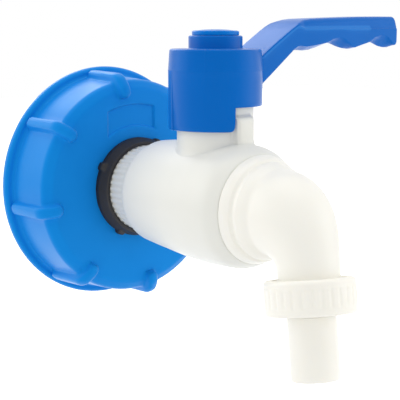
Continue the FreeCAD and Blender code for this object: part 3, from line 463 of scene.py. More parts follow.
# VALVE BODY
# One white polypropylene moulding: inlet thread, fluted collar, crowned barrel, stem tower and the
# lug that stops the handle. Thick walls let a little light into the plastic.
STEM_AT = 63.8
INLET_END = 9.8
PIPE_THREAD_RADIUS = 10.48
WATER_WAY_RADIUS = 6.5
BALL_ROOM_RADIUS = 11.4
BALL_ROOM_FROM, BALL_ROOM_TO = 52.94, 74.36
ELBOW_ROOM_RADIUS = 13.5
COLLAR_RADIUS = 14.4
COLLAR_END = 35.6
FLUTE_COUNT = 44
FLUTE_DEPTH = 0.42
FLUTE_SECTION = (1.0, 0.75, 0.15, 0.0, 0.15, 0.75)
BARREL_END = 85.0
# The barrel's outline: places along the flow with their radii, widest just past the stem.
BARREL = [(35.9, 15.6), (36.5, 16.45), (37.6, 16.95), (41, 17.3), (44.5, 17.65), (48, 17.95),
          (52.6, 18.35), (58, 18.85), (63, 19.1), (70, 19.2), (76, 18.95), (79, 18.75),
          (80.3, 18.55), (81.4, 18.25), (82.5, 17.8), (83.6, 17.25), (84.6, 16.7), (84.9, 16.5),
          (BARREL_END, 16.2)]
TOWER_RADIUS = 11.8
TOWER_TOP = 41.2
TOWER_FOOT = 20.0
TOWER_FLOOR = 14.0
TOWER_SUNK = 1.2
ROOT_LEVELS = [0.06, 0.2, 0.45, 0.8, 1.3, 1.9]
ROOT_FLARE = 0.9
STEM_HOLE_RADIUS = 5.08
LUG_RADIUS = 13.6
LUG_TOP = 27.0
LUG_FROM, LUG_TO = -13.0, 24.0
# Share of the lug's height, by the degrees inside its edge and by the height over its top.
LUG_SIDE = [(-0.5, 0.0), (0.3, 0.12), (1.2, 0.45), (2.2, 0.78), (3.4, 0.95), (4.6, 1.0)]
LUG_CROWN = [(-1.8, 1.0), (-1.1, 0.93), (-0.5, 0.75), (-0.1, 0.45), (0.3, 0.12), (0.7, 0.0)]
WHITE = "e9e9e2"
WHITE_DEEP = "e5e5de"

body_profile = polyline([
    (SEAL_DISC_END, PIPE_THREAD_RADIUS), (SEAL_DISC_END, COLLAR_RADIUS, 0.3),
    (COLLAR_END, COLLAR_RADIUS, 0.3), *BARREL,
    (BARREL_END, ELBOW_ROOM_RADIUS), (BALL_ROOM_TO, ELBOW_ROOM_RADIUS),
    (BALL_ROOM_TO, BALL_ROOM_RADIUS), (BALL_ROOM_FROM, BALL_ROOM_RADIUS),
    (BALL_ROOM_FROM, WATER_WAY_RADIUS), (INLET_END, WATER_WAY_RADIUS), (INLET_END, 9.5),
    (INLET_END + 1.0, PIPE_THREAD_RADIUS)], step=1.6)
body_rows = []
for place in body_profile:
    row = []
    along_collar = SEAL_DISC_END + 0.4 < place.x < COLLAR_END + 0.1
    on_collar = along_collar and COLLAR_RADIUS - 0.2 < place.y < COLLAR_RADIUS + 0.4
    for flute in range(FLUTE_COUNT):
        for part, depth in enumerate(FLUTE_SECTION):
            angle = math.tau * (flute + part / len(FLUTE_SECTION)) / FLUTE_COUNT
            lift = FLUTE_DEPTH * depth if on_collar else 0.0
            row.append(about_flow(place.x, place.y - lift, angle))
    body_rows.append(row)
barrel = skinned("valve_barrel", body_rows)


def about_stem(radius, angle, z):
    """A point round the stem axis; the angle runs from the flow direction towards the lever."""
    return (STEM_AT + radius * math.cos(angle), radius * math.sin(angle), z)


def on_barrel(radius, angle):
    """Height of the barrel's surface at a place round the stem axis."""
    x, y, z = about_stem(radius, angle, 0.0)
    return math.sqrt(from_table(x, BARREL) ** 2 - y * y)


tower_columns = sorted(
    [math.radians(k * 5) for k in range(72)]
    + [math.radians(edge + step) for edge in (LUG_FROM, LUG_TO)
       for step in (-4.4, -3.4, -2.4, -1.4, -0.6, -0.2, 0.2, 0.6, 1.4, 2.4, 3.4, 4.4)])


def tower_radius(z, angle):
    """The tower's radius: round, with the stop lug up to its top."""
    degrees = (math.degrees(angle) + 180) % 360 - 180
    side = from_table(min(degrees - LUG_FROM, LUG_TO - degrees), LUG_SIDE)
    top = from_table(z - LUG_TOP, LUG_CROWN)
    return TOWER_RADIUS + (LUG_RADIUS - TOWER_RADIUS) * min(side, top)


# The tower's root follows the barrel and flares into it, and the wall above is upright.
tower_rows = []
for level in [-TOWER_SUNK] + ROOT_LEVELS:
    row = []
    for angle in tower_columns:
        wall = tower_radius(TOWER_FOOT, angle)
        share = max(level / ROOT_LEVELS[-1], 0.0)
        flare = ROOT_FLARE * (1.0 - math.sqrt(1.0 - (1.0 - share) ** 2))
        foot = on_barrel(wall + ROOT_FLARE * (1.0 - share), angle) + level
        row.append(about_stem(wall + flare, angle, foot))
    tower_rows.append(row)
tower_heights = sorted(
    [21.6 + k for k in range(20)]
    + [LUG_TOP + step for step in (-1.8, -1.4, -0.7, -0.4, -0.15, 0.15, 0.4, 0.7)])
for z in tower_heights + [TOWER_TOP - 0.25]:
    tower_rows.append([about_stem(tower_radius(z, a), a, z) for a in tower_columns])
for radius, z in ((TOWER_RADIUS - 0.25, TOWER_TOP), (STEM_HOLE_RADIUS + 0.32, TOWER_TOP),
                  (STEM_HOLE_RADIUS, TOWER_TOP - 0.3), (STEM_HOLE_RADIUS, TOWER_FLOOR),
                  (6.5, TOWER_FLOOR), (9.6, TOWER_FLOOR)):
    tower_rows.append([about_stem(radius, a, z) for a in tower_columns])
tower = skinned("stem_tower", tower_rows)
# Undyed white with a satin skin, in which thick walls soften the shadows.
white_plastic = moulded("white_polypropylene_body", WHITE, WHITE_DEEP, "f4f4f0", 0.36,
                        translucent=0.12)
finished(barrel, white_plastic, "valve", "body_white", "valve_body")
finished(tower, white_plastic, "valve", "body_white")

# BALL, SEATS AND STEM
# The working parts inside: a polished white acetal ball between two fluoropolymer seats, turned by
# a glass-filled stem with a blow-out flange, a thrust washer and two o-rings.
# The ball is polished, the seats are waxy and dull, and the stem's glass fibre roughens its skin.
ball_plastic = moulded("white_acetal_ball", "f0f0ec", "ebebe6", "f4f4f2", 0.18, strength=0.02)
carried("ball", ball_plastic)
seat_plastic = moulded("white_ptfe_seats", "f1f1ee", "ecece8", "f5f5f3", 0.42, strength=0.03)
for name in ("inlet_seat", "outlet_seat", "stem_washer"):
    carried(name, seat_plastic)
carried("stem", moulded("white_polypropylene_stem", "e4e3dd", "dbdad3", "ecebe6", 0.4,
                        strength=0.08))
for name in ("stem_o_ring_lower", "stem_o_ring_upper", "elbow_o_ring", "hose_tail_gasket"):
    carried(name, seal_rubber)

# HANDLE
# The quarter-turn lever, one blue polypropylene moulding: a hub with a stepped skirt that meets the
# stop lug, a boss for the screw, a rising arm and a grip hollowed for the fingers. A square hole
# fits the stem.
HUB_TOP = 46.9
HUB_TOP_RADIUS = 14.05
HUB_MID_RADIUS = 14.45
HUB_LOW_RADIUS = 13.85
HUB_ROOF = 42.3
PARTING_HEIGHT = 40.4
SPLIT_AT = 308.5
WITNESS = 0.07
SKIRT_INSIDE = 12.4
SKIRT_SHORT = 29.7
SKIRT_LONG = 22.5
SKIRT_LONG_FROM, SKIRT_LONG_TO = 115.0, 345.7
SKIRT_MM_PER_DEGREE = 0.242
# Share of the long skirt's extra length at a distance inside its edge.
SKIRT_CORNER = [(-0.04, 0.0), (0.04, 0.72), (0.14, 0.84), (0.3, 0.9), (0.6, 0.955), (1.0, 0.985),
                (1.6, 1.0)]
REAR_TO = 256.0
BOSS_RADIUS = 8.25
BOSS_TOP = 50.9
SCREW_POCKET_RADIUS = 5.7
SQUARE_HALF = 3.6
HANDLE_BLUE = "0666c2"
HANDLE_BLUE_DEEP = "0460b8"

hub_columns = sorted(
    [math.radians(2 + k * 5) for k in range(72)]
    + [math.radians(edge + step) for edge in (SKIRT_LONG_FROM, SKIRT_LONG_TO)
       for step in (-7.5, -5.5, -4, -3, -2, -1.2, -0.6, -0.15, 0.15, 0.6)]
    + [math.radians(REAR_TO + step) for step in (-0.7, -0.2, 0.2, 0.7)]
    + [math.radians(SPLIT_AT + step) for step in (-1.2, -0.6, 0, 0.6, 1.2)])


def skirt_foot(angle):
    """Lower edge of the skirt: long where it meets the lug, with rounded corners."""
    degrees = math.degrees(angle) % 360
    inside = min(degrees - SKIRT_LONG_FROM, SKIRT_LONG_TO - degrees) * SKIRT_MM_PER_DEGREE
    return SKIRT_SHORT - (SKIRT_SHORT - SKIRT_LONG) * from_table(inside, SKIRT_CORNER)


def skirt_radius(z, angle):
    """Outside of the hub below the parting line: the rear of the skirt hardly tapers."""
    degrees = math.degrees(angle) % 360
    share = (PARTING_HEIGHT - z) / (PARTING_HEIGHT - SKIRT_LONG)
    tapered = HUB_MID_RADIUS + (HUB_LOW_RADIUS - HUB_MID_RADIUS) * share
    straight = HUB_MID_RADIUS - 0.1 * share
    towards_rear = from_table(degrees, [(REAR_TO - 0.3, 1.0), (REAR_TO + 0.3, 0.0), (300, 0.0),
                                        (350, 1.0)])
    return tapered + (straight - tapered) * towards_rear


def square_radius(angle):
    """Distance from the axis to the square hole's wall."""
    return SQUARE_HALF / max(abs(math.cos(angle)), abs(math.sin(angle)))


hub_rows = [[about_stem(square_radius(a), a, z) for a in hub_columns] for z in (HUB_ROOF, HUB_TOP)]
for radius, z in polyline([
        (SCREW_POCKET_RADIUS, HUB_TOP), (SCREW_POCKET_RADIUS, BOSS_TOP, 0.15),
        (BOSS_RADIUS, BOSS_TOP, 0.55), (BOSS_RADIUS, HUB_TOP, 0.35),
        (HUB_TOP_RADIUS, HUB_TOP, 0.8),
        (HUB_MID_RADIUS, PARTING_HEIGHT + 0.3), (HUB_MID_RADIUS + WITNESS, PARTING_HEIGHT),
        (HUB_MID_RADIUS, PARTING_HEIGHT - 0.3)], step=1.2, closed=False):
    split = WITNESS if radius > HUB_TOP_RADIUS - 0.3 else 0.0
    hub_rows.append([
        about_stem(radius + split * (abs(math.degrees(a) - SPLIT_AT) < 0.1), a, z)
        for a in hub_columns])
for share in (0.2, 0.4, 0.6, 0.8, 0.92, 1.0):
    row = []
    for a in hub_columns:
        z = PARTING_HEIGHT - 0.12 + (skirt_foot(a) + 0.35 - PARTING_HEIGHT) * share
        row.append(about_stem(skirt_radius(z, a), a, z))
    hub_rows.append(row)
for inward, up in ((0.06, 0.1), (0.3, 0.0)):
    hub_rows.append([
        about_stem(skirt_radius(skirt_foot(a), a) - inward, a, skirt_foot(a) + up)
        for a in hub_columns])
for up in (0.0, 0.4):
    hub_rows.append([about_stem(SKIRT_INSIDE, a, skirt_foot(a) + up) for a in hub_columns])
for radius, z in ((SKIRT_INSIDE, 34.0), (SKIRT_INSIDE, 38.0), (SKIRT_INSIDE, HUB_ROOF),
                  (8.0, HUB_ROOF)):
    hub_rows.append([about_stem(radius, a, z) for a in hub_columns])
hub = skinned("handle_hub", hub_rows)

# The lever is a run of rings across it. The tables give heights at places along it: of its
# underside down the middle, of the near edge between the finger hollows, and of its top.
LEVER_HALF = 7.5
LEVER_FROM, LEVER_TO = 11.0, 73.8
LEVER_ROOT_RADIUS = 13.3
LEVER_UNDER = [
    (LEVER_FROM, 34.6), (13.2, 36.4), (15.7, 38.3), (19.8, 41.5), (24.0, 44.8), (25.6, 45.85),
    (27.2, 46.25), (29.5, 46.2), (31.8, 46.05), (34.5, 46.3), (37.5, 47.0), (40.3, 47.8),
    (42.2, 48.35), (43.1, 48.45), (44.2, 48.2), (47.1, 47.2), (49.5, 46.65), (51.8, 46.4),
    (53.9, 46.5), (56.0, 46.85), (59.6, 47.75), (61.8, 48.45), (63.0, 48.6), (64.2, 48.3),
    (66.8, 47.2), (69.2, 46.75), (71.2, 46.75), (72.4, 47.15), (73.2, 47.8), (LEVER_TO, 49.0)]
FINGER_EDGE = [
    (LEVER_FROM, 34.6), (24.0, 44.8), (25.0, 45.9), (26.1, 46.7), (27.2, 47.4), (28.5, 47.65),
    (31.5, 47.45), (35.9, 47.9), (40.3, 48.6), (42.0, 49.2), (43.8, 49.9), (46.0, 50.2),
    (47.6, 49.9), (48.9, 49.2), (50.7, 48.1), (51.9, 47.1), (53.3, 47.0), (55.4, 47.6),
    (58.0, 48.2), (60.2, 48.7), (61.6, 49.5), (63.2, 50.3), (65.9, 51.0), (67.8, 50.75),
    (69.3, 50.0), (70.6, 48.8), (71.9, 47.6), (72.8, 47.7), (73.4, 48.4), (LEVER_TO, 49.5)]
LEVER_TOP = [
    (LEVER_FROM, 43.6), (12.3, 44.5), (17.6, 48.1), (21.8, 50.8), (25.3, 53.0), (28.5, 54.8),
    (30.2, 55.45), (32.0, 55.9), (35.2, 56.25), (44.2, 56.6), (55.8, 57.0), (69.4, 57.2),
    (72.8, 57.2), (73.35, 57.05), (73.7, 56.7), (LEVER_TO, 56.3)]
# How the far end draws in, and how the hollows, the palm and the domed top grow along the arm.
LEVER_END_IN = [(72.9, 0.0), (73.3, 0.08), (73.65, 0.3), (LEVER_TO, 0.6)]
FINGER_WIDTH = 2.8
FINGER_GROWS = [(24.0, 0.4), (28.0, FINGER_WIDTH)]
PALM_HEIGHT = 50.3
PALM_MIDDLE = 0.65
PALM_GROWS = [(25.0, 0.0), (34.0, 1.0)]
LEVER_SIDE_TOP = 53.0
LEVER_EDGE = 0.5
DOME_GROWS = [(27.0, 0.0), (28.4, 0.5), (30.5, 1.0)]
# The shoulder's quarter round, as shares inward and upward.
LEVER_SHOULDER = [(0.0, 0.0), (0.1, 0.25), (0.2, 0.5), (0.31, 0.7), (0.45, 0.85), (0.62, 0.94),
                  (0.8, 0.98)]
SHOULDER_WIDTH = 2.6
FAR_ROUND = 0.7


def lever_ring(y):
    """The lever's outline across, as (u, z) from the underside's middle round the near side."""
    under = from_table(y, LEVER_UNDER)
    top = from_table(y, LEVER_TOP)
    half = LEVER_HALF - from_table(y, LEVER_END_IN)
    dome = LEVER_EDGE + (top - LEVER_SIDE_TOP - LEVER_EDGE) * from_table(y, DOME_GROWS)
    depth = max(from_table(y, FINGER_EDGE) - under, 0.3)
    bevel = from_table(y, FINGER_GROWS)
    palm = max(PALM_HEIGHT - under, 0.0) * from_table(y, PALM_GROWS)
    side = top - dome
    near = under + depth
    far = under + palm
    # The near half: the underside falls to its lowest line, then the hollow's bevel and the side.
    right = [((half - bevel) * share, under + palm * PALM_MIDDLE * (1 - share))
             for share in (0.15, 0.5, 0.8, 0.96)]
    right += [(half - bevel * (1 - share), under + depth * share)
              for share in (0.04, 0.35, 0.7, 0.96)]
    right += [(half, near + (side - near) * share) for share in (0.05, 0.15, 0.88, 1.0)]
    # The far half: the underside rises to the palm's height, with a small round.
    left = [(-half * share, under + palm * min(PALM_MIDDLE + share, 1.0))
            for share in (0.12, 0.35, 0.6, 0.86)]
    left += [(-half + FAR_ROUND * (1 - share), far + FAR_ROUND * share * share)
             for share in (0.2, 0.5, 0.8, 1.0)]
    left += [(-half, far + FAR_ROUND + (side - far - FAR_ROUND) * share)
             for share in (0.05, 0.15, 0.88, 1.0)]
    # The top: a narrow land, a rounded shoulder and a hardly crowned middle, alike on both sides.
    land = min(0.25, dome * 0.06)
    wide = min(dome, SHOULDER_WIDTH)
    over = [(half - land - inward * wide, side + land + (dome - land) * up)
            for inward, up in LEVER_SHOULDER]
    flat_half = half - land - LEVER_SHOULDER[-1][0] * wide
    over += [(flat_half * share, top - dome * 0.03 * share * share) for share in (0.85, 0.5, 0.15)]
    return right + over + [(-u, z) for u, z in over[::-1]] + left[::-1]


def end_fan(ring):
    """Closes an end of the lever: a ring shrunk to its middle, kept inside the hub's wall."""
    middle = sum((Vector(point) for point in ring), Vector()) / len(ring)
    middle.y = max(middle.y, LEVER_ROOT_RADIUS)
    return [middle] * len(ring)


lever_rows = []
for y in ([LEVER_FROM] + [13.5 + k * 0.6 for k in range(98)]
          + [72.2, 72.6, 72.9, 73.15, 73.35, 73.55, 73.7, LEVER_TO]):
    # The first ring bends round the stem axis, because the lever grows out of the hub's wall.
    lever_rows.append([(STEM_AT + u, max(y, math.sqrt(LEVER_ROOT_RADIUS ** 2 - u * u)), z)
                       for u, z in lever_ring(y)])
lever_rows = [end_fan(lever_rows[0]), *lever_rows, end_fan(lever_rows[-1])]
lever = skinned("handle_lever", lever_rows, closed=False)


def joined(keep, other):
    """Fuses two closed shells of one moulding into a single skin."""
    union = keep.modifiers.new("union", "BOOLEAN")
    union.operation = "UNION"
    union.solver = "EXACT"
    union.object = other
    bpy.context.view_layer.update()
    settled = keep.evaluated_get(bpy.context.evaluated_depsgraph_get())
    mesh = bpy.data.meshes.new_from_object(settled)
    mesh.name = keep.name
    keep.modifiers.clear()
    keep.data = mesh
    bpy.data.objects.remove(other)
    mesh.shade_smooth()
    mesh.set_sharp_from_angle(angle=SHARP_FROM)
    return keep


handle = joined(hub, lever)
handle.name = "lever_handle"
# A deeper blue than the cap's, from a smoother tool, so that the arm shows clearer lights.
handle_plastic = moulded("blue_polypropylene_handle", HANDLE_BLUE, HANDLE_BLUE_DEEP, "3f92e2",
                         0.3, tint="30acff", coat=0.06)
finished(handle, handle_plastic, "lever", "handle_blue", "handle")

# PLUG, SCREW AND WASHER
# A zinc-plated screw and washer hold the handle on the stem. A thin blue plug with a low dome snaps
# into the boss over them; its rim keeps the small scar where it left its runner.
PLUG_RADIUS = 7.2
PLUG_SNAP_RADIUS = 5.6
PLUG_SNAP_END = 49.3
PLUG_RIM_UNDER = BOSS_TOP + 0.02
PLUG_SIDES = 96
SCAR_AT = math.radians(-32.0)
# Depth of the scar at a distance from its middle.
SCAR_DEPTH = [(0.0, 0.32), (0.35, 0.25), (0.8, 0.0)]
PLUG_BLUE = "0088e4"
plug_rows = []
for radius, z in polyline([
        (0.01, BOSS_TOP), (4.85, BOSS_TOP), (4.85, PLUG_SNAP_END),
        (PLUG_SNAP_RADIUS, PLUG_SNAP_END, 0.2), (PLUG_SNAP_RADIUS, PLUG_RIM_UNDER, 0.1),
        (PLUG_RADIUS, PLUG_RIM_UNDER, 0.3), (PLUG_RADIUS, 52.2, 0.35), (6.4, 52.42, 0.3),
        (5.9, 52.35, 0.2), (4.0, 52.62), (2.0, 52.74), (0.01, 52.78)], step=0.7, closed=False):
    row = []
    on_rim = radius > PLUG_RADIUS - 0.5 and z > 51.5
    for angle in [math.tau * k / PLUG_SIDES for k in range(PLUG_SIDES)]:
        off = abs((angle - SCAR_AT + math.pi) % math.tau - math.pi) * radius
        scar = from_table(off, SCAR_DEPTH) if on_rim else 0.0
        row.append(about_stem(radius - scar, angle, z))
    plug_rows.append(row)
plug = skinned("snap_plug", plug_rows, closed=False)
# The plug is a lighter and glossier blue than the lever.
plug_plastic = moulded("blue_polypropylene_plug", PLUG_BLUE, HANDLE_BLUE, "58b4f4", 0.26,
                       tint="30b0ff", coat=0.06)
finished(plug, plug_plastic, "lever", "handle_blue", "handle_plug")


ZINC_BRIGHT = "b9bdc2"
ZINC_DULL = "a3a8ae"


def plated_steel(name):
    """Zinc-plated steel: a bright grey with the faint cloudiness of the plating."""
    made, tree = bare_material(name)
    place = add(tree, "ShaderNodeTexCoord")
    clouds = add(tree, "ShaderNodeTexNoise", {"Scale": 1 / (1.2 * MM), "Detail": 3.0},
                 {"Vector": (place, "Object")})
    mixed = add(tree, "ShaderNodeMix", {
        "data_type": "RGBA", "A": linear(ZINC_BRIGHT), "B": linear(ZINC_DULL)},
        {"Factor": (clouds, "Fac")})
    gloss = add(tree, "ShaderNodeMapRange", {"To Min": 0.22, "To Max": 0.36},
                {"Value": (clouds, "Fac")})
    skin = add(tree, "ShaderNodeBsdfPrincipled", {"Metallic": 1.0}, {
        "Base Color": (mixed, "Result"), "Roughness": (gloss, "Result")})
    add(tree, "ShaderNodeOutputMaterial", None, {"Surface": (skin, "BSDF")})
    return made


zinc = plated_steel("zinc_plated_steel")
carried("handle_screw", zinc)
carried("screw_washer", zinc)

# OUTLET ELBOW
# The white polypropylene elbow that screws into the barrel: a stepped collar with a shallow groove,
# a full bend that shrinks to the spout, and a half-inch thread under the hose nut. The spout leans
# forward, and the elbow, screwed home, stops a few degrees short of plumb.
SPOUT_TURN = math.radians(-3.5)
SPOUT_LEAN = math.radians(10.4)
BEND_AT = (93.9, -16.5)
BEND_RADIUS = 12.9
SPIGOT_RADIUS = 13.4
SPIGOT_FROM = 74.66
SPIGOT_GROOVE_RADIUS = 12.0
COLLAR_BACK = BARREL_END + 0.01
GROOVE_RADIUS = 14.4
SPOUT_AT = 104.2
SPOUT_RADIUS = 9.1
SPOUT_END = 22.3
SPOUT_BORE = 6.5
THREAD_RADIUS = 10.4
THREAD_CUT_RADIUS = 9.95
THREAD_FROM = 18.0
THREAD_STEP = 0.85
THREAD_RINGS = 5
ELBOW_WHITE = "f8f6ee"
ELBOW_WHITE_DEEP = "f5f3ea"
ELBOW_SIDES = 96


def tilted(point):
    """Turns a point about the flow axis with the elbow."""
    return Matrix.Rotation(SPOUT_TURN, 3, "X") @ Vector(point)


def elbow_ring(x, z, slope, radius):
    """A ring across the water way; slope 0 faces along the flow, 90 degrees faces down."""
    row = []
    for k in range(ELBOW_SIDES):
        turn = math.tau * k / ELBOW_SIDES
        along = radius * math.cos(turn)
        row.append(tilted((x + along * math.sin(slope), radius * math.sin(turn),
                           z + along * math.cos(slope))))
    return row


def spout_ring(depth, radius):
    """A ring across the leaning spout at a depth along its axis."""
    return elbow_ring(SPOUT_AT + depth * math.sin(SPOUT_LEAN), -depth * math.cos(SPOUT_LEAN),
                      math.pi / 2 - SPOUT_LEAN, radius)


def bend_rings(start_radius, end_radius, parts):
    """Rings round the bend's corner, shrinking from the collar to the spout."""
    rings = []
    end_reach = ((SPOUT_AT - BEND_AT[0]) * math.cos(SPOUT_LEAN)
                 - BEND_AT[1] * math.sin(SPOUT_LEAN))
    for k in range(parts + 1):
        share = k / parts
        ease = share * share * (3 - 2 * share)
        slope = (math.pi / 2 - SPOUT_LEAN) * share
        reach = -BEND_AT[1] + (end_reach + BEND_AT[1]) * ease
        radius = start_radius + (end_radius - start_radius) * ease
        rings.append(elbow_ring(BEND_AT[0] + reach * math.sin(slope),
                                BEND_AT[1] + reach * math.cos(slope), slope, radius))
    return rings


elbow_rows = []
for x, radius in polyline([
        (SPIGOT_FROM, SPOUT_BORE), (SPIGOT_FROM, SPIGOT_RADIUS), (77.6, SPIGOT_RADIUS),
        (77.6, SPIGOT_GROOVE_RADIUS), (79.6, SPIGOT_GROOVE_RADIUS), (79.6, SPIGOT_RADIUS),
        (COLLAR_BACK, SPIGOT_RADIUS), (COLLAR_BACK, 16.0, 0.1), (85.3, 16.35, 0.2),
        (87.0, 15.85, 1.6), (88.3, 15.25, 0.8), (88.85, 14.55, 0.25), (89.15, GROOVE_RADIUS, 0.3),
        (90.4, GROOVE_RADIUS, 1.0), (92.2, 13.75, 1.4),
        (BEND_AT[0], BEND_RADIUS + 0.05)], step=0.8, closed=False):
    elbow_rows.append(elbow_ring(x, 0, 0, radius))
elbow_rows += bend_rings(BEND_RADIUS, SPOUT_RADIUS, 20)[1:]
for depth, radius in ((16.4, 8.95), (17.2, 8.9), (17.4, THREAD_RADIUS - 0.2),
                      (17.7, THREAD_RADIUS)):
    elbow_rows.append(spout_ring(depth, radius))
# The thread is drawn as plain rings, because the nut hides it until it is unscrewed.
for k in range(THREAD_RINGS):
    depth = THREAD_FROM + THREAD_STEP * k
    elbow_rows.append(spout_ring(depth, THREAD_RADIUS))
    elbow_rows.append(spout_ring(depth + 0.45, THREAD_CUT_RADIUS))
for depth, radius in ((22.1, 9.9), (SPOUT_END, 9.6), (SPOUT_END, SPOUT_BORE + 0.2),
                      (22.1, SPOUT_BORE), (THREAD_FROM, SPOUT_BORE)):
    elbow_rows.append(spout_ring(depth, radius))
elbow_rows += bend_rings(SPOUT_BORE, SPOUT_BORE, 12)[::-1]
elbow = skinned("outlet_elbow_moulding", elbow_rows)
# A warmer white than the body's, with the same satin skin.
elbow_plastic = moulded("white_polypropylene_elbow", ELBOW_WHITE, ELBOW_WHITE_DEEP, "fcfaf4",
                        0.34, translucent=0.14)
finished(elbow, elbow_plastic, "valve", "elbow_white", "outlet_elbow")

# HOSE NUT AND HOSE TAIL
# A loose white nut with broad grip ribs between plain rounded ends traps the flange of the hose
# tail, a smooth polypropylene tube with a rounded mouth, against a flat rubber gasket.
NUT_RADIUS = 13.02
NUT_TOP = 17.05
NUT_BOTTOM = 27.2
NUT_RIBS = 30
NUT_RIB_HEIGHT = 0.22
# A rib's section by equal steps round the nut, and its share of height by distance from an end.
NUT_RIB_SECTION = (1.0, 1.0, 0.97, 0.8, 0.3, 0.0, 0.3, 0.8, 0.97, 1.0)
NUT_RIB_FADE = [(2.0, 0.0), (2.4, 0.55), (2.8, 0.95), (3.1, 1.0)]
NUT_BAND = 0.12
NUT_BORE = 10.62
NUT_HOLE = 7.27
NUT_FLOOR = 25.3
TAIL_RADIUS = 7.07
TAIL_END = 45.9
TAIL_BORE = 5.2
TAIL_NECK_RADIUS = 6.9
TAIL_FLANGE_RADIUS = 10.1
TAIL_FLANGE_FROM, TAIL_FLANGE_TO = 23.55, 25.15
TAIL_SIDES = 72
NUT_WHITE = "faf7ee"
NUT_WHITE_DEEP = "f7f4ea"
TAIL_WHITE = "faf8f0"


def about_spout(radius, angle, depth):
    """A point round the spout's leaning axis."""
    forward = radius * math.cos(angle)
    return tilted((
        SPOUT_AT + depth * math.sin(SPOUT_LEAN) + forward * math.cos(SPOUT_LEAN),
        radius * math.sin(angle),
        forward * math.sin(SPOUT_LEAN) - depth * math.cos(SPOUT_LEAN)))


nut_rows = []
nut_columns = [(math.tau * (rib + part / len(NUT_RIB_SECTION)) / NUT_RIBS, height)
               for rib in range(NUT_RIBS)
               for part, height in enumerate(NUT_RIB_SECTION)]
for radius, depth in polyline([
        (NUT_BORE, NUT_TOP, 0.4), (NUT_RADIUS + NUT_BAND, NUT_TOP, 1.7),
        (NUT_RADIUS + NUT_BAND, NUT_TOP + 2.6), (NUT_RADIUS, NUT_TOP + 2.9),
        (NUT_RADIUS, NUT_BOTTOM - 2.6), (NUT_RADIUS + NUT_BAND, NUT_BOTTOM - 2.3),
        (NUT_RADIUS + NUT_BAND, NUT_BOTTOM, 1.7), (NUT_HOLE, NUT_BOTTOM, 0.3),
        (NUT_HOLE, NUT_FLOOR), (NUT_BORE, NUT_FLOOR)], step=0.5):
    from_end = min(depth - NUT_TOP, NUT_BOTTOM - depth)
    on_outside = radius > NUT_RADIUS - 0.1
    fade = from_table(from_end, NUT_RIB_FADE) if on_outside else 0.0
    nut_rows.append([about_spout(radius + NUT_RIB_HEIGHT * height * fade, angle, depth)
                     for angle, height in nut_columns])
nut = skinned("ribbed_hose_nut", nut_rows)
tail_rows = []
for radius, depth in polyline([
        (TAIL_BORE, TAIL_FLANGE_FROM), (TAIL_FLANGE_RADIUS, TAIL_FLANGE_FROM, 0.2),
        (TAIL_FLANGE_RADIUS, TAIL_FLANGE_TO, 0.2), (TAIL_NECK_RADIUS, TAIL_FLANGE_TO),
        (TAIL_NECK_RADIUS, 27.6), (TAIL_RADIUS, 27.8), (TAIL_RADIUS, TAIL_END, 1.1),
        (TAIL_BORE, TAIL_END, 0.5)], step=1.2):
    tail_rows.append([about_spout(radius, math.tau * k / TAIL_SIDES, depth)
                      for k in range(TAIL_SIDES)])
tail = skinned("smooth_hose_tail", tail_rows)
# Both are a warm white with a satin skin, and let a little light in as the body does.
nut_plastic = moulded("white_polypropylene_nut", NUT_WHITE, NUT_WHITE_DEEP, "fdfbf5", 0.38,
                      translucent=0.16)
finished(nut, nut_plastic, "nut", "nut_white", "hose_nut")
tail_plastic = moulded("white_polypropylene_tail", TAIL_WHITE, NUT_WHITE_DEEP, "fdfbf5", 0.36,
                       translucent=0.16)
finished(tail, tail_plastic, "tail", "nut_white", "hose_tail")

# FLOOR, BACKDROP AND LIGHT
# A white sweep under soft boxes left, right, above and behind, as in a product photograph. The floor
# lies below the hose tail, because the valve is held by its cap.
FLOOR_MIDDLE = 60.0
FLOOR_AT = -75.0
FLOOR_HALF = 1600.0
PAPER_WHITE = "f2f2f2"
PAPER_GLOW = 0.62
SKY_LIGHT = 0.82
FULL_WHITE = "ffffff"


def white_to_camera(tree):
    """A node that is 1 for camera, glossy and transmission rays, which see the background white."""
    path = add(tree, "ShaderNodeLightPath")
    seen = add(tree, "ShaderNodeMath", {"operation": "MAXIMUM"}, {
        0: (path, "Is Camera Ray"), 1: (path, "Is Glossy Ray")})
    return add(tree, "ShaderNodeMath", {"operation": "MAXIMUM"}, {
        0: (seen, "Value"), 1: (path, "Is Transmission Ray")})


def sweep_material():
    """Matt white paper that the camera sees as white, with the object's shadow kept."""
    made, tree = bare_material("white_paper_sweep")
    paper = add(tree, "ShaderNodeBsdfDiffuse", {"Color": linear(PAPER_WHITE)})
    glow = add(tree, "ShaderNodeEmission", {"Strength": PAPER_GLOW})
    lit = add(tree, "ShaderNodeAddShader", None, {0: (paper, "BSDF"), 1: (glow, "Emission")})
    chosen = add(tree, "ShaderNodeMixShader", None, {
        0: (white_to_camera(tree), "Value"), 1: (paper, "BSDF"), 2: (lit, "Shader")})
    add(tree, "ShaderNodeOutputMaterial", None, {"Surface": (chosen, "Shader")})
    return made


sheet = bmesh.new()
bmesh.ops.create_grid(sheet, x_segments=8, y_segments=8, size=FLOOR_HALF * MM)
sheet_mesh = bpy.data.meshes.new("paper_sweep")
sheet.to_mesh(sheet_mesh)
sheet.free()
floor = bpy.data.objects.new("paper_sweep", sheet_mesh)
floor.location = (FLOOR_MIDDLE * MM, 0, FLOOR_AT * MM)
scene.collection.objects.link(floor)
floor.data.materials.append(sweep_material())

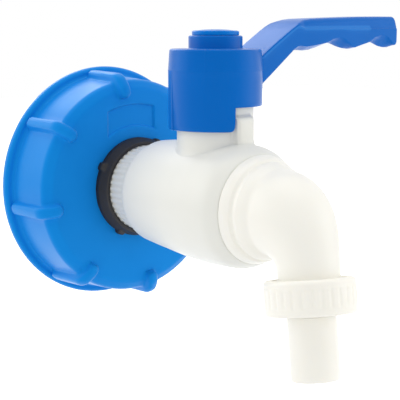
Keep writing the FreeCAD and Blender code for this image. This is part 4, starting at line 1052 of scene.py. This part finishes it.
world = bpy.data.worlds.new("studio")
scene.world = world
world.use_nodes = True
sky = world.node_tree
sky.nodes.clear()
plain = add(sky, "ShaderNodeBackground", {"Color": linear(FULL_WHITE), "Strength": SKY_LIGHT})
white = add(sky, "ShaderNodeBackground", {"Color": linear(FULL_WHITE), "Strength": 1.0})
backdrop = add(sky, "ShaderNodeMixShader", None, {
    0: (white_to_camera(sky), "Value"), 1: (plain, "Background"), 2: (white, "Background")})
add(sky, "ShaderNodeOutputWorld", None, {"Surface": (backdrop, "Shader")})

# Places, aims and widths of the soft boxes in metres, and their power in watts.
for name, place, aim, width, watts in (
        ("soft_box_left", (-0.35, -0.45, 0.25), (0.02, 0, 0), 0.5, 0.8),
        ("soft_box_right", (0.5, 0.45, 0.15), (0.08, 0, 0), 0.5, 0.7),
        ("soft_box_above", (0.05, 0.0, 0.7), (0.06, 0, 0), 0.6, 0.9),
        ("soft_box_behind", (-0.5, 0.07, 0.42), (0.06, 0.03, 0.05), 0.4, 1.1)):
    lamp = bpy.data.lights.new(name, "AREA")
    lamp.shape = "SQUARE"
    lamp.size = width
    lamp.energy = watts
    stand = bpy.data.objects.new(name, lamp)
    stand.location = place
    stand.rotation_euler = (Vector(aim) - Vector(place)).to_track_quat("-Z", "Y").to_euler()
    scene.collection.objects.link(stand)

# CAMERA
# The photograph's viewpoint, worked out from the cap's ellipse, the barrel and the hub's top.
# Places are in metres.
CAMERA_AT = (0.32627, -0.21358, 0.05219)
CAMERA_AIM = (0.05729, -0.00079, -0.00045)
CAMERA_VIEW = 20.602
CAMERA_ROLL = 0.06
lens = bpy.data.cameras.new("photo_camera")
lens.sensor_fit = "AUTO"
lens.angle = math.radians(CAMERA_VIEW)
lens.clip_start = 0.01
camera = bpy.data.objects.new("photo_camera", lens)
camera.location = CAMERA_AT
looking = (Vector(CAMERA_AIM) - Vector(CAMERA_AT)).to_track_quat("-Z", "Y").to_matrix()
camera.rotation_euler = (looking @ Matrix.Rotation(math.radians(CAMERA_ROLL), 3, "Z")).to_euler()
scene.collection.objects.link(camera)
scene.camera = camera
scene.view_settings.view_transform = "Standard"
